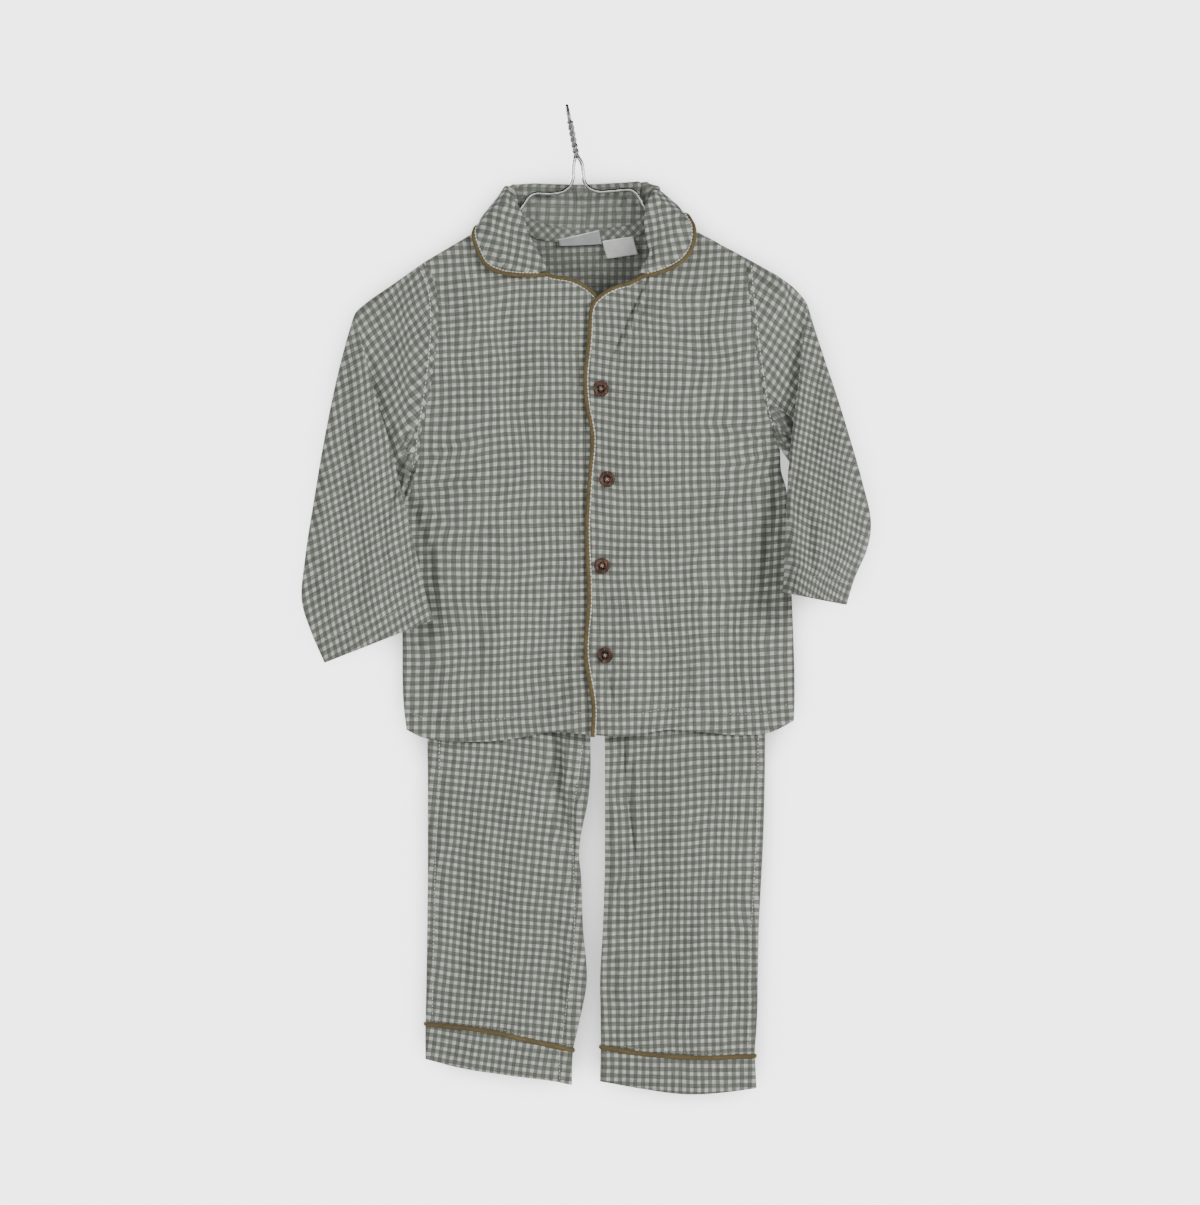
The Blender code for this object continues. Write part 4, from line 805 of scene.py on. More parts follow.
def body_relief(x, drop, side, hem):
    """What the cloth of the body adds to its plain form: creases, puckers and a soft crumple."""
    table = FRONT_CREASES if side < 0 else BACK_CREASES
    edge = edge_distance(x, drop, BODY_EDGES)
    free = ease((edge - 1) / 9)
    relief = creases(x, drop, table)
    relief += 0.9 * soft_noise(x, drop, 34) + 0.42 * soft_noise(x + 9, drop - 5, 14)
    button_gap = edge_distance(x, drop, [(p, (p[0] + 0.1, p[1])) for p in BUTTONS])
    if side < 0:
        relief *= 0.15 + 0.85 * ease((button_gap - 6) / 12)
    neck = edge_distance(x, drop, NECK_LINES[side])
    relief *= 0.25 + 0.75 * ease((neck - 4) / 26)
    armhole = edge_distance(x, drop, ARMHOLE_LINES)
    relief *= 0.45 + 0.55 * ease((armhole - 2) / 12)
    relief += puckers(drop, armhole - 3, 5, 0.32, 7.5, 3)
    relief += 0.55 * bell(armhole - ARMHOLE_RIDGE, 2.2)
    up = hem(x) - drop
    relief += puckers(x, up - HEM_DEPTH, 6, 0.30, 8.5, 1 if side < 0 else 2)
    relief -= 0.45 * bell(up - HEM_DEPTH, 1.3)
    relief += 0.25 * ease(1 - up / HEM_DEPTH)
    if side < 0:
        relief -= creases(x, drop, FOLDS) / CREASE_GAIN
    return relief * free


SEAM_CLOSED = 0.25         # depth of the jacket's and the legs' side edges, where front and back meet
SAG = 0.0010


def laid(x, depth, drop, side):
    """A grid of cloth at a depth on its front (-1) or back (+1)."""
    return np.stack([x, side * np.maximum(depth, SEAM_STAND), drop], -1)


def weave_plan(points, angle_u, angle_v, repeat_u=CHECK, repeat_v=CHECK, middle=None, swing=1):
    """Place of each point in the cloth: two directions of thread, each with its own repeat.

    The depth counts too, so that the check runs on round a folded edge.
    """
    x, y, drop = np.moveaxis(points, -1, 0)
    low, high = x.min(axis=1, keepdims=True), x.max(axis=1, keepdims=True)
    middle = 0.5 * (low + high) if middle is None else middle
    half = 0.5 * (high - low) + 1e-6
    flat_x = x + np.clip((x - middle) / half, -1, 1) * np.abs(y) * 0.6
    a, b = math.radians(angle_u), math.radians(angle_v)
    u = (flat_x * math.cos(a) + drop * math.sin(a)) * CHECK / repeat_u
    v = (flat_x * math.cos(b) + drop * math.sin(b)) * CHECK / repeat_v
    u = u + swing * 1.3 * (soft_noise(x + 400, drop + 70, 95) + 0.4 * soft_noise(x, drop + 300, 42))
    v = v + swing * 1.6 * (soft_noise(x + 120, drop + 550, 80) + 0.4 * soft_noise(x + 60, drop, 38))
    return np.stack([u, v], -1)


def body_weave(points, seed):
    """The check runs level, but sags towards the front edge and is drawn up by the last button."""
    x, drop = points[..., 0], points[..., 2]
    weave = weave_plan(points, 0, 88, middle=BODY_MIDDLE) + 3.1 * seed
    if seed == 1:
        weave[..., 1] += SAG * (x - 115) ** 2 * (1 - 0.65 * ease((drop - 300) / 200))
    if seed == 0:
        weave[..., 1] += 7 * np.exp(-((x - 22) / 34) ** 2 - ((drop - 530) / 48) ** 2)
        weave[..., 1] += 2 * np.exp(-((x + 30) / 50) ** 2 - ((drop - 250) / 90) ** 2)
    return weave


def build_body():
    """The jacket's two fronts and its back."""
    left_shoulder = (LEFT_SHOULDER[1], LEFT_SHOULDER[0])
    right_shoulder = RIGHT_SHOULDER[:3]
    panels = (
        ("front_left", -1, (left_shoulder, LEFT_NECK), left_outline, under_edge, (0,)),
        ("front_right", -1, (RIGHT_NECK, right_shoulder), front_edge, right_outline, (-1,)),
        ("back", 1, (left_shoulder, BACK_NECK, right_shoulder), left_outline, right_outline, (0, -1)),
    )
    grids = {}
    for seed, (name, side, top, left, right, side_columns) in enumerate(panels):
        # On the back, the inner face shown inside the neck takes the darker gingham: painted shade.
        hem, fine, spacing, width, inner_painted_shade = {-1: (front_hem, FRONT_GRID, FRONT_ROWS, 0.20, None),
                                             1: (back_hem, BACK_GRID, GRID, 0.36, GINGHAM_PAINTED_SHADE)}[side]
        x, drop, underarm = panel_plan(top_line(top, fine), left, right, hem, spacing)
        depth = body_depth(x, drop, side) + SEAM_STAND + body_relief(x, drop, side, hem)
        if name == "front_left":
            depth = depth - under_tuck(x, drop)
        points = laid(x, depth, drop, side)
        for column in side_columns:
            points[underarm:, column, 1] = side * SEAM_CLOSED
        cloth(f"cloth_{name}", points, body_weave(points, seed), GINGHAM, replaces=(name,),
              inner_painted_shade=inner_painted_shade)
        grids[name] = (points, underarm)
    return grids


def seam_of(grids, name, column):
    """The armhole edge of a panel, from the shoulder to the underarm."""
    points, underarm = grids[name]
    return points[:underarm, column]


def up_from_end(points, columns, up):
    """Rows of a grid that lie a distance above its last one, at each of some columns."""
    rows = []
    for column in columns:
        line = points[:, int(round(column))]
        keys = lengths_along(line)
        rows.append(np.interp(keys[-1] - up, keys, np.arange(len(keys))))
    return np.array(rows)


def hem_stitches(name, parts, up, material, length=2.4, gap=1.1):
    """A row of stitches above the last row of each grid (points, side, first and last column)."""
    lines = []
    for points, side, first, last in parts:
        columns = np.linspace(first, points.shape[1] - 1 - last, int(points.shape[1] / 2))
        lines.append(on_grid(points, side, up_from_end(points, columns, up), columns))
    stitches(name, lines, material, length, gap)


def stitch_body(grids):
    left, right, back = (grids[name][0] for name in ("front_left", "front_right", "back"))
    hem_stitches("stitch_hem", ((left, -1, 6, 4), (right, -1, 5, 6), (back, 1, 5, 5)), HEM_DEPTH, SAGE_THREAD)


# ---------------------------------------------------------------- sleeves

SLEEVE_STEPS = np.array([0, 0.0008, 0.003, 0.007, 0.013, 0.021])
LEFT_SLEEVE_CREASES = (
    # over the upper sleeve, towards its fold
    (-126, 168, -176, 196, -5, 7, 1), (-124, 196, -170, 226, 4, 7, -0.9), (-128, 222, -166, 262, -4, 7, 0.9),
    (-132, 262, -160, 300, 3, 6, -0.8), (-137, 300, -156, 326, 2, 5, 1), (-148, 150, -182, 178, 2, 5, -0.8),
    # the bunch under the arm
    (-141, 330, -152, 356, -2, 4, 1.6), (-147, 334, -157, 366, 2, 3, -1.3),
    # down the hanging sleeve
    (-186, 214, -176, 318, 5, 8, 1.1), (-170, 250, -160, 352, -4, 7, -1), (-200, 262, -202, 372, -5, 9, -1),
    (-152, 362, -150, 440, 4, 8, 1.1), (-216, 330, -212, 452, 5, 9, 1), (-188, 372, -192, 470, -5, 10, -1.1),
    (-170, 388, -166, 462, 4, 8, 1), (-230, 400, -208, 428, 3, 6, -0.9), (-232, 436, -202, 440, -3, 6, 0.9),
    (-146, 408, -172, 418, 3, 6, -0.8), (-206, 214, -188, 246, 2, 6, 0.8), (-140, 444, -134, 462, 1, 5, 0.7),
)
RIGHT_SLEEVE_CREASES = (
    (172, 142, 204, 168, 3, 5, 1), (168, 150, 190, 170, -2, 3, -1.2), (176, 190, 206, 214, -4, 6, -0.8),
    (180, 226, 202, 256, 3, 6, 0.9), (186, 262, 201, 296, -2, 5, -0.8), (192, 300, 200, 322, 2, 4, 1.3),
    (216, 196, 208, 300, -4, 7, 1), (228, 226, 222, 330, 5, 9, -1), (204, 300, 202, 392, 4, 6, 1),
    (240, 282, 246, 392, -5, 9, 1.1), (212, 348, 216, 430, -4, 7, -1), (260, 330, 258, 404, 4, 7, -0.9),
    (224, 380, 232, 436, 4, 8, 1), (266, 384, 240, 398, 3, 6, -0.9), (258, 414, 232, 418, -3, 5, 0.8),
    (196, 404, 214, 414, 2, 5, 0.8),
)
SLEEVE_FOLD = 3.4          # place in a sleeve's table where it turns down over the hanger's end
SLEEVE_HEM = 19
SLEEVE_WIDTH = 185
SEAM_CLEARANCE = 0.2       # between a front's edge and the sleeve sewn to it


def clear_of_body(x, y, drop):
    """Keep a hanging sleeve in front of the jacket's side, where it lies over it."""
    left_over = np.where(drop > LEFT_UNDERARM, x - left_outline(drop), -50)
    right_over = np.where(drop > RIGHT_UNDERARM, right_outline(drop) - x, -50)
    over = np.minimum(left_over, right_over)
    near = ease((over + 8) / 8)
    limit = -np.where(over > 0, body_depth(x, drop, -1), 0) - 3.4
    return np.where(y > limit, np.minimum(y, y + (limit - y) * near), y)


def sleeve_shares(width):
    count = int(round(width / GRID))
    middle = np.linspace(SLEEVE_STEPS[-1], 1 - SLEEVE_STEPS[-1], count)[1:-1]
    return np.concatenate([SLEEVE_STEPS, middle, (1 - SLEEVE_STEPS)[::-1]])


def sleeve_ring(row, shares, table):
    """One ring of a sleeve: the front from its outer edge to its inner one, then the back."""
    outer_x, outer_drop, inner_x, inner_drop, tuck, lift, outer_y, inner_y, thick = row
    width = math.hypot(inner_x - outer_x, inner_drop - outer_drop)
    radius = min(thick, EDGE_RADIUS + 1.17 * max(thick - 6, 0), 0.5 * width)
    edge = np.minimum(shares, 1 - shares) * width
    depth = tube_depth(edge, thick, 0.42 * width, radius) + 0.15
    x = outer_x + (inner_x - outer_x) * shares
    drop = outer_drop + (inner_drop - outer_drop) * shares
    y = outer_y + (inner_y - outer_y) * shares
    free = ease((edge - 0.5) / 8)
    relief = creases(x, drop, table) + 0.7 * soft_noise(x, drop, 26) + 0.35 * soft_noise(x, drop, 12)
    front_x = x + tuck * ease(shares * 1.15) * (1 - 0.5 * ease((shares - 0.9) / 0.1))
    front_y = y - lift * ease(shares * 2.5) * (1 - 0.6 * ease((shares - 0.92) / 0.08)) - depth
    back_x = x + 0.5 * tuck * ease((shares - 0.9) / 0.1)
    back_relief = creases(x + 7, drop - 11, table) + 0.5 * soft_noise(x + 50, drop, 26)
    back_y = y + depth
    if lift > 0 or inner_y < -7:
        front_y = clear_of_body(front_x, front_y, drop)
        back_y = clear_of_body(back_x, back_y, drop)
        back_relief = np.minimum(back_relief, 0.2)
    front = np.stack([front_x, front_y - relief * free, drop], -1)
    back = np.stack([back_x, back_y + back_relief * free, drop], -1)
    return front, back


def armhole_ring(seam, shares, direction):
    """Half of the sleeve's first ring, just beyond the edge of the front or the back."""
    keys = lengths_along(seam[:, ::2])
    points = np.stack([np.interp(shares * keys[-1], keys, seam[:, k]) for k in range(3)], -1)
    run = unit(np.gradient(points[:, ::2], axis=0))
    points[:, 0] += direction * SEAM_CLEARANCE * run[:, 1]
    points[:, 2] -= direction * SEAM_CLEARANCE * run[:, 0]
    return points


def build_sleeve(name, table, crease_table, seams, direction, weaves):
    rows = np.asarray(table, float)
    shares = sleeve_shares(SLEEVE_WIDTH)
    first = np.array([armhole_ring(seam, shares, direction) for seam in seams])
    middles = 0.5 * (rows[:, 0:2] + rows[:, 2:4])
    keys = 7 + lengths_along(np.column_stack([middles, 0.7 * rows[:, 4:6]]))
    places = np.concatenate([[0, 1.2, 2.6, 4.6], np.linspace(keys[0], keys[-1], int(keys[-1] / GRID))])
    outward = ease(np.minimum(shares, 1 - shares) * SLEEVE_WIDTH / 8)[:, None] * DEPTHWARDS
    rings = []
    for place in places:
        pair = np.array(sleeve_ring(hermite(keys, rows, max(place, keys[0])), shares, crease_table))
        if place < keys[0]:
            pair = first + (pair - first) * place / keys[0]
        up = keys[-1] - place
        amount = puckers(shares * SLEEVE_WIDTH, place - 3, 4, 0.28, 6.5, 5)
        amount = amount + puckers(shares * SLEEVE_WIDTH, up - SLEEVE_HEM, 5, 0.26, 7, 6)
        amount = amount - 0.4 * math.exp(-((up - SLEEVE_HEM) / 1.4) ** 2)
        step = outward * amount[:, None]
        rings.append(pair + np.array([-step, step]))
    fronts, backs = np.array(rings).swapaxes(0, 1)
    points = np.concatenate([fronts, backs[:, ::-1]], axis=1)
    split = int(np.searchsorted(places, np.interp(SLEEVE_FOLD, np.arange(len(keys)), keys)))
    upper, lower = (weave_plan(points, *weave) for weave in weaves)
    cloth(f"cloth_{name}", points, (upper, lower, split), GINGHAM, ring=True, replaces=(name,))
    # Pale stitches beside the armhole seam: partly real stitching, partly a painted highlight for the narrow
    # bright edge where the sleeve's cloth folds at the seam.
    columns = np.linspace(5, len(shares) - 6, 60)
    first_row = np.ones(columns.shape)
    stitches(f"armhole_stitch_highlight_{name[7:]}", [on_grid(half, side, first_row, columns, 0.5 * WALL + 0.05)
                                            for half, side in ((fronts, -1), (backs, 1))],
             PALE_THREAD, 2.6, 1.2, 0.36)
    hem_stitches(f"stitch_hem_{name[7:]}", ((fronts, -1, 4, 4), (backs, 1, 4, 4)), SLEEVE_HEM, SAGE_THREAD)


BUNCH_CREASES = (          # under the arms, as in creases()
    (-139.5, 296, -152, 320, 1, 2.6, 0.8), (-136.5, 302, -150, 327, -1, 2.4, -0.8),
    (-136, 312, -144, 332, 2, 2.4, 0.8), (-136, 320, -141, 343, 1.5, 2.2, -0.8),
    (-143, 326, -147, 352, 1, 2.4, 0.7), (184, 275, 203, 294, -1, 2.4, 0.7),
    (184, 282, 203, 300, 1, 2.2, -0.8), (188, 295, 203, 301, 1, 2.2, 0.6),
    (-135.4, 288, -138.6, 329, -1.5, 1.8, -3.4), (-138, 327, -143, 329, 0.5, 2, -2.4),
    (-138.5, 298, -151, 322, 1.5, 2, -1.8), (-140.5, 331, -146, 352, 0.5, 1.8, -1.8),
    (188, 300, 203, 304, 1, 2, -1.2),
)
BUNCHES = (                # name, angle of its weave, and rows of x, drop left and x, drop right
    ("bunch_left", 24, ((-141.5, 290, -134.5, 288), (-153, 316, -135.5, 312),
                          (-155, 331, -136, 329), (-152, 343, -140, 343),
                          (-148, 356, -143.5, 355))),
    ("bunch_right", -24, ((183, 271, 188, 270), (184.5, 285, 204, 283),
                            (187.5, 298, 205, 298), (191, 308, 204, 308))),
)
BUNCH_DEPTH = 9.5
FLATTENED = (1, 0, 1)


def between(rows, count, across, rise=None):
    """x and drop across a strip whose two edges are rows of (x, drop, x, drop)."""
    rows = np.array(rows)
    keys = lengths_along(0.5 * (rows[:, :2] + rows[:, 2:]))
    x0, d0, x1, d1 = np.moveaxis(hermite(keys, rows, np.linspace(0, keys[-1], count))[:, None], -1, 0)
    rise = 0 if rise is None else rise(x0)
    return x0 + (x1 - x0) * across, d0 - rise + (d1 + rise - d0) * across


def build_bunches():
    """The cloth gathered in folds below each arm, between the jacket's side and the sleeve."""
    across = np.linspace(0, 1, 26)
    swell = 0.4 + 0.6 * np.sin(np.pi * (0.04 + 0.92 * across)) ** 0.6
    for name, angle, table in BUNCHES:
        x, drop = between(table, 60, across)
        depth = BUNCH_DEPTH * swell + 1.4 * creases(x, drop, BUNCH_CREASES) + 0.4 * soft_noise(x, drop, 8)
        points = np.stack([x, -np.maximum(depth, 0.3), drop], -1)
        weave = weave_plan(points * FLATTENED, angle, angle + 92)
        # The bunches take the darker, flatter gingham: painted shade on the cloth gathered under the arms.
        cloth(name, points, weave, GINGHAM_PAINTED_SHADE, wall=0.6)


# ---------------------------------------------------------------- collar

def over_body(x, drop, side):
    """Depth of a cloth that lies over the jacket, or 0 where it is clear above a shoulder."""
    line = sorted(LEFT_SHOULDER if x < BODY_MIDDLE else RIGHT_SHOULDER)
    above = -1
    if line[0][0] < x < line[-1][0]:
        above = float(np.interp(x, [p[0] for p in line], [p[1] for p in line])) - drop
    if above <= 0:
        return float(body_depth(x, drop, side)) + COLLAR_CLEARANCE
    gap = EDGE_RADIUS + float(distance_to_line(x, drop, line))
    return math.sqrt(max((EDGE_RADIUS + COLLAR_CLEARANCE) ** 2 - gap * gap, 0))


def inside_neck(x, drop, line):
    """The nearest point of a neckline made of straight lines, moved just inside the neck."""
    best = (1e9, x, drop)
    for (x0, d0), (x1, d1) in zip(line[:-1], line[1:]):
        run = math.hypot(x1 - x0, d1 - d0)
        t = min(max(((x - x0) * (x1 - x0) + (drop - d0) * (d1 - d0)) / run ** 2, 0), 1)
        near_x = x0 + t * (x1 - x0)
        near_drop = d0 + t * (d1 - d0)
        normal = ((d1 - d0) / run, (x0 - x1) / run)
        inward = normal[0] * (NECK_MIDDLE[0] - near_x) + normal[1] * (NECK_MIDDLE[1] - near_drop)
        inset = math.copysign(NECK_INSET, inward)
        gap = math.hypot(x - near_x, drop - near_drop)
        best = min(best, (gap, near_x + normal[0] * inset, near_drop + normal[1] * inset))
    return best[1:]


def collar_section(station, necks):
    """Points across the collar at one station: stand, roll and fall, to the outer edge."""
    neck_x, neck_drop, roll_x, roll_drop, edge_x, edge_drop, facing, level = station
    angle = math.radians(facing)
    out = np.array([-math.sin(angle), -math.cos(angle), 0])
    side = -1 if level < 0 else 1
    name = "back" if side > 0 else "left" if neck_x < BODY_MIDDLE else "right"
    neck_x, neck_drop = inside_neck(neck_x, neck_drop, necks[name])
    neck_y = level * (float(body_depth(neck_x, neck_drop, side)) + SEAM_STAND)
    rise = np.array([roll_x - neck_x, 0, roll_drop - neck_drop])
    height = float(np.linalg.norm(rise))
    rise = rise / height
    neck = np.array([neck_x, neck_y, neck_drop])
    roll = np.array([roll_x, neck_y, roll_drop]) + out
    back_off = min(3.5, 0.4 * height)
    fold = min(COLLAR_FOLD, 3.4 + 0.05 * height)
    stand_top = roll - rise * back_off
    fall_top = stand_top + out * fold
    points = [neck, 0.5 * (neck + stand_top), stand_top]
    for turn in (30, 60, 90, 120, 150):
        bend = math.radians(turn)
        lift = back_off * (0.12 + 0.88 * math.sin(bend))
        points.append(stand_top + out * 0.5 * fold * (1 - math.cos(bend)) + rise * lift)
    points.append(fall_top)
    for share in (0.15, 0.3, 0.45, 0.6, 0.75, 0.88, 1):
        x = fall_top[0] + (edge_x - fall_top[0]) * share
        drop = fall_top[2] + (edge_drop - fall_top[2]) * share
        shell = over_body(x, drop, side)
        y = fall_top[1]
        if level < 0:
            y = min(y, -shell)
        elif level > 0:
            y = max(y, shell)
        points.append(np.array([x, y, drop]))
    return points


def collar_grid(necks, length_count=190, across_count=56):
    stations = np.array([collar_section(station, necks) for station in COLLAR])
    keys = lengths_along(0.5 * (stations[:, 5] + stations[:, -1]))
    at = np.linspace(0, keys[-1], length_count)
    rows = hermite(keys, stations.reshape(len(stations), -1), at).reshape(length_count, -1, 3)
    across = lengths_along(rows.mean(axis=0))
    fine = spread(across[-1], across[-1] / across_count)
    station = np.interp(at, keys, np.arange(len(keys)))[:, None]
    return np.array([hermite(across, row, fine) for row in rows]), station, fine


COLLAR_CREASES = (
    # wings
    (-61, 133, -58, 146, 0.5, 2, -1), (-56, 134, -54, 147, -0.5, 4, 0.6), (-70, 100, -52, 132, 4, 6, 0.7),
    (-60, 92, -44, 118, -3, 5, -0.6), (77, 128, 76, 144, -0.5, 2, -1), (84, 118, 82, 140, 1, 4, 0.6),
    (98, 92, 92, 126, -4, 6, 0.7), (84, 86, 82, 112, 3, 5, -0.6),
    # pleats at the corners of the roll
    (-52, 72, -46, 92, 1, 2.6, -1.5), (-48, 71, -38, 84, 1, 2.2, 1), (-57, 76, -54, 96, -1, 3, 0.9),
    (67, 70, 62, 90, -1, 2.4, -1.5), (72, 70, 72, 92, -1, 2.2, 1.1), (60, 72, 46, 92, 2, 3, -1),
    (80, 74, 86, 94, 2, 3, 0.8),
    # the stand inside the neck
    (-30, 76, -26, 102, 1, 5, 0.5), (-8, 78, -6, 106, -1, 6, -0.4), (22, 78, 24, 106, 1, 6, 0.5),
    (42, 76, 40, 104, -1, 5, -0.5),
)
COLLAR_WALL = 1.3
WING_CROWN = 1.8
ROLL_RISE = 4.2
STAND_DEPTH = 3.4          # keeps the stand behind the hanger's wire


def build_collar():
    """The collar's cloth, rolled over at the sides and standing at the back."""
    necks = {name: along(line, shares).tolist() for name, line, shares in (
        ("left", LEFT_NECK, (0, 0.28, 0.48, 0.6, 0.72, 0.86, 1)),
        ("right", RIGHT_NECK, (0, 0.07, 0.15, 0.25, 0.37, 0.49, 0.66, 0.83, 1)),
        ("back", BACK_NECK, (0, 0.14, 0.32, 0.5, 0.68, 0.86, 1)))}
    points, station, fine = collar_grid(necks)
    normals = np.cross(np.gradient(points, axis=0), np.gradient(points, axis=1))
    normals /= np.linalg.norm(normals, axis=-1)[..., None] + 1e-12
    normals *= -1 if normals[len(points) // 6, -8, 1] > 0 else 1
    share = fine / fine[-1]
    free = ease((share - 0.03) / 0.15) * ease((1 - share) / 0.10)
    x, drop = points[..., 0], points[..., 2]
    relief = creases(x, drop, COLLAR_CREASES) + 0.30 * soft_noise(x, drop + 40, 18)
    left = 1 - ease((station - 5.8) / 2.4)
    right = ease((station - 13.6) / 2.6)
    behind = ease((station - 7.5) / 1.5) * ease((14.5 - station) / 1.5)
    fall = np.clip((share - 0.42) / 0.58, 0, 1)
    relief += WING_CROWN * np.maximum(left, right) * np.sin(np.pi * fall) ** 0.8
    relief += ROLL_RISE * behind * bell(share - 0.42, 0.10)
    relief += 0.5 * bell(fine[-1] - fine - 6, 4)
    points = points + normals * (relief * free)[..., None]
    points[..., 1] += behind * (share < 0.45) * np.maximum(STAND_DEPTH - points[..., 1], 0)
    weave = sum(weave_plan(points, *angles, middle=14, swing=swing) * part[..., None]
                for angles, swing, part in (((2, 90), 0.5, 1 - left - right), ((17, 106), 0.6, left),
                                            ((-14, 77), 0.6, right)))
    piece = cloth("cloth_collar", points, weave, GINGHAM, wall=COLLAR_WALL,
                  replaces=("collar",))
    # The stand's inner faces behind the neck take the darker gingham: painted shade.
    piece.data.materials.append(GINGHAM_PAINTED_SHADE)
    inner = (behind[:-1] > 0.5) & (share < 0.44)[:-1]
    piece.data.polygons.foreach_set("material_index", inner.astype(np.int32).ravel())
    return points


def beside(points, offset, out=0):
    """A line beyond the last column of a grid of cloth."""
    edge = points[:, -1]
    tangent = unit(np.gradient(edge, axis=0))
    step = edge - points[:, -4]
    step = unit(step - tangent * np.sum(step * tangent, axis=1)[:, None])
    normal = np.cross(tangent, step)
    normal *= np.where(normal[:, 1:2] > 0, -1, 1)
    return edge + step * offset + normal * out


def cord(name, path, radius, material, spacing=1.6, sides=10, slot="piping", replaces=(), closed=False,
         seed=1):
    """Piping: a round cord whose cover is slightly uneven."""
    path = resampled(path, spacing, closed)
    keys = np.arange(len(path)) * spacing
    radii = radius * (1 + 0.05 * soft_noise(keys, 31 * seed, 9) + 0.03 * soft_noise(keys, 57 * seed, 3))
    return solid(name, *tube_mesh(path, radii, sides, closed), material, slot, replaces)


def front_depth(x, drop):
    return body_depth(x, drop, -1) + SEAM_STAND + body_relief(x, drop, -1, front_hem)


def along_edge(line, offset, out, tuck=None):
    """A line beside an edge of a front, given as (x, drop) points, at the front's own depth."""
    x, drop = line[:, 0], line[:, 1]
    run = unit(np.gradient(line, axis=0))
    depth = front_depth(x, drop) + out
    if tuck is not None:
        depth = depth - tuck(x, drop)
    return np.stack([x + offset * run[:, 1], -depth, drop - offset * run[:, 0]], -1)


PIPING_REACH = 1.8         # from a cloth's edge to the middle of its piping
EDGE_THREAD = 0.6
OUTWARD = (0, -1, 0)


def build_trims(collar):
    """Piping round the collar and down both fronts, each with a row of stitches beside it."""
    left_neck = along(LEFT_NECK, np.linspace(0.50, 1, 60))
    left_line = along_edge(left_neck, PIPING_REACH, 0, under_tuck)
    neck = along(RIGHT_NECK, np.linspace(0.47, 0, 60))
    drops = np.linspace(FRONT_EDGE[0][0], FRONT_EDGE[-1][0] - 1.5, 240)[1:]
    edge = resampled(np.concatenate([neck, np.stack([front_edge(drops), drops], -1)]), 2)
    for _ in range(3):
        edge[1:-1] = 0.25 * edge[:-2] + 0.5 * edge[1:-1] + 0.25 * edge[2:]
    right_line = along_edge(edge, -PIPING_REACH, 0)
    forward = np.array([0, 1.2, 0])
    collar_line = np.vstack([left_line[9] - forward, left_line[6] - forward,
                             beside(collar, PIPING_REACH + 0.3),
                             right_line[6] - forward, right_line[9] - forward])
    for name, solid_name, line, seed, thread_line, length, gap in (
            ("left", "piping_left", left_line, 3, along_edge(left_neck, 0, 0.75, under_tuck), 3, 0.5),
            ("right", "piping_right", right_line, 5, along_edge(edge, 0.1, 0.8), 3, 0.5),
            ("collar", "collar_piping", collar_line, 1, beside(collar, 0.1, 0.75), 2.4, 0.7)):
        cord(f"trim_{name}", line, PIPING_RADIUS + 0.1, PIPING, replaces=(solid_name,), seed=seed)
        stitches(f"edge_thread_{name}", ((thread_line, OUTWARD),), PALE_THREAD, length, gap, EDGE_THREAD)


NECK_TAPE = (              # x and drop of the upper edge, x and drop of the lower edge
    (-46, 99, -37, 112), (-42.3, 103, -30.6, 116.5), (-19.8, 107.5, -15.3, 119.9), (7.2, 109.9, 7.2, 121),
    (33.3, 110.6, 33.3, 121.5), (56.7, 107.2, 54.9, 119.7), (70, 99.5, 67.5, 113.4), (73.5, 95, 72, 109),
)
TAPE_RISE = (6, 2.2)     # how far the tape goes up over the stand's lower edge, left and right


def inner_back(x, drop):
    """Depth of the inner face of the back, where the neck shows it."""
    return body_depth(x, drop, 1) + SEAM_STAND + body_relief(x, drop, 1, back_hem) - 0.5 * WALL


def build_neck_tape():
    """Bias tape over the seam at the back of the neck, a little gathered."""
    across = np.array([0, 0.05, 0.15, 0.3, 0.5, 0.7, 0.85, 0.95, 1])
    x, drop = between(NECK_TAPE, 90, across, lambda at: TAPE_RISE[1] + (TAPE_RISE[0] - TAPE_RISE[1])
                      * ease((-15 - at) / 20))
    swell = 0.55 * np.sin(np.pi * across) ** 0.5 * (1 + 0.5 * soft_noise(x, drop, 6))
    gathers = np.sin(2 * np.pi * (x + 1.3 * soft_noise(x, drop, 9)) / 6.5)
    swell = swell + 0.25 * np.sin(np.pi * across) * gathers
    points = np.stack([x, inner_back(x, drop) - 0.75 - swell, drop], -1)
    weave = weave_plan(points * FLATTENED, 47, 137, 6.4, 6.4, swing=0.3)
    # The tape takes the darker, flatter gingham: painted shade inside the neck.
    cloth("cloth_neck_tape", points, weave, GINGHAM_PAINTED_SHADE, wall=0.6)


# ---------------------------------------------------------------- trousers

FRONT_LEG_CREASES = (
    (-6, 572, -3, 650, 1.5, 5, -1.6), (-3, 630, 8, 712, 2, 5, -1.1), (-20, 574, -16, 662, -3, 7, 1.1),
    (7, 580, 12, 650, 1, 4, 0.9), (61, 572, 70, 668, 1, 6, 0.9), (-96, 582, -102, 700, 5, 11, 1),
    (-62, 600, -70, 742, -6, 12, -0.9), (-86, 690, -88, 816, 5, 10, -0.9), (-44, 670, -36, 820, 5, 11, 1),
    (-16, 720, -6, 832, -3, 8, -1), (4, 756, 2, 836, 1, 5, 0.9), (-112, 660, -116, 800, -3, 8, 0.8),
    (96, 590, 92, 720, -5, 12, 1), (132, 582, 138, 706, 5, 12, -0.9), (156, 610, 152, 760, -4, 9, 0.9),
    (60, 704, 54, 830, 5, 10, 0.9), (84, 730, 92, 840, -4, 10, -0.9), (122, 716, 116, 842, 5, 11, 1),
    (148, 770, 154, 846, -3, 8, -0.8), (44, 620, 42, 760, 2, 6, 0.7),
)
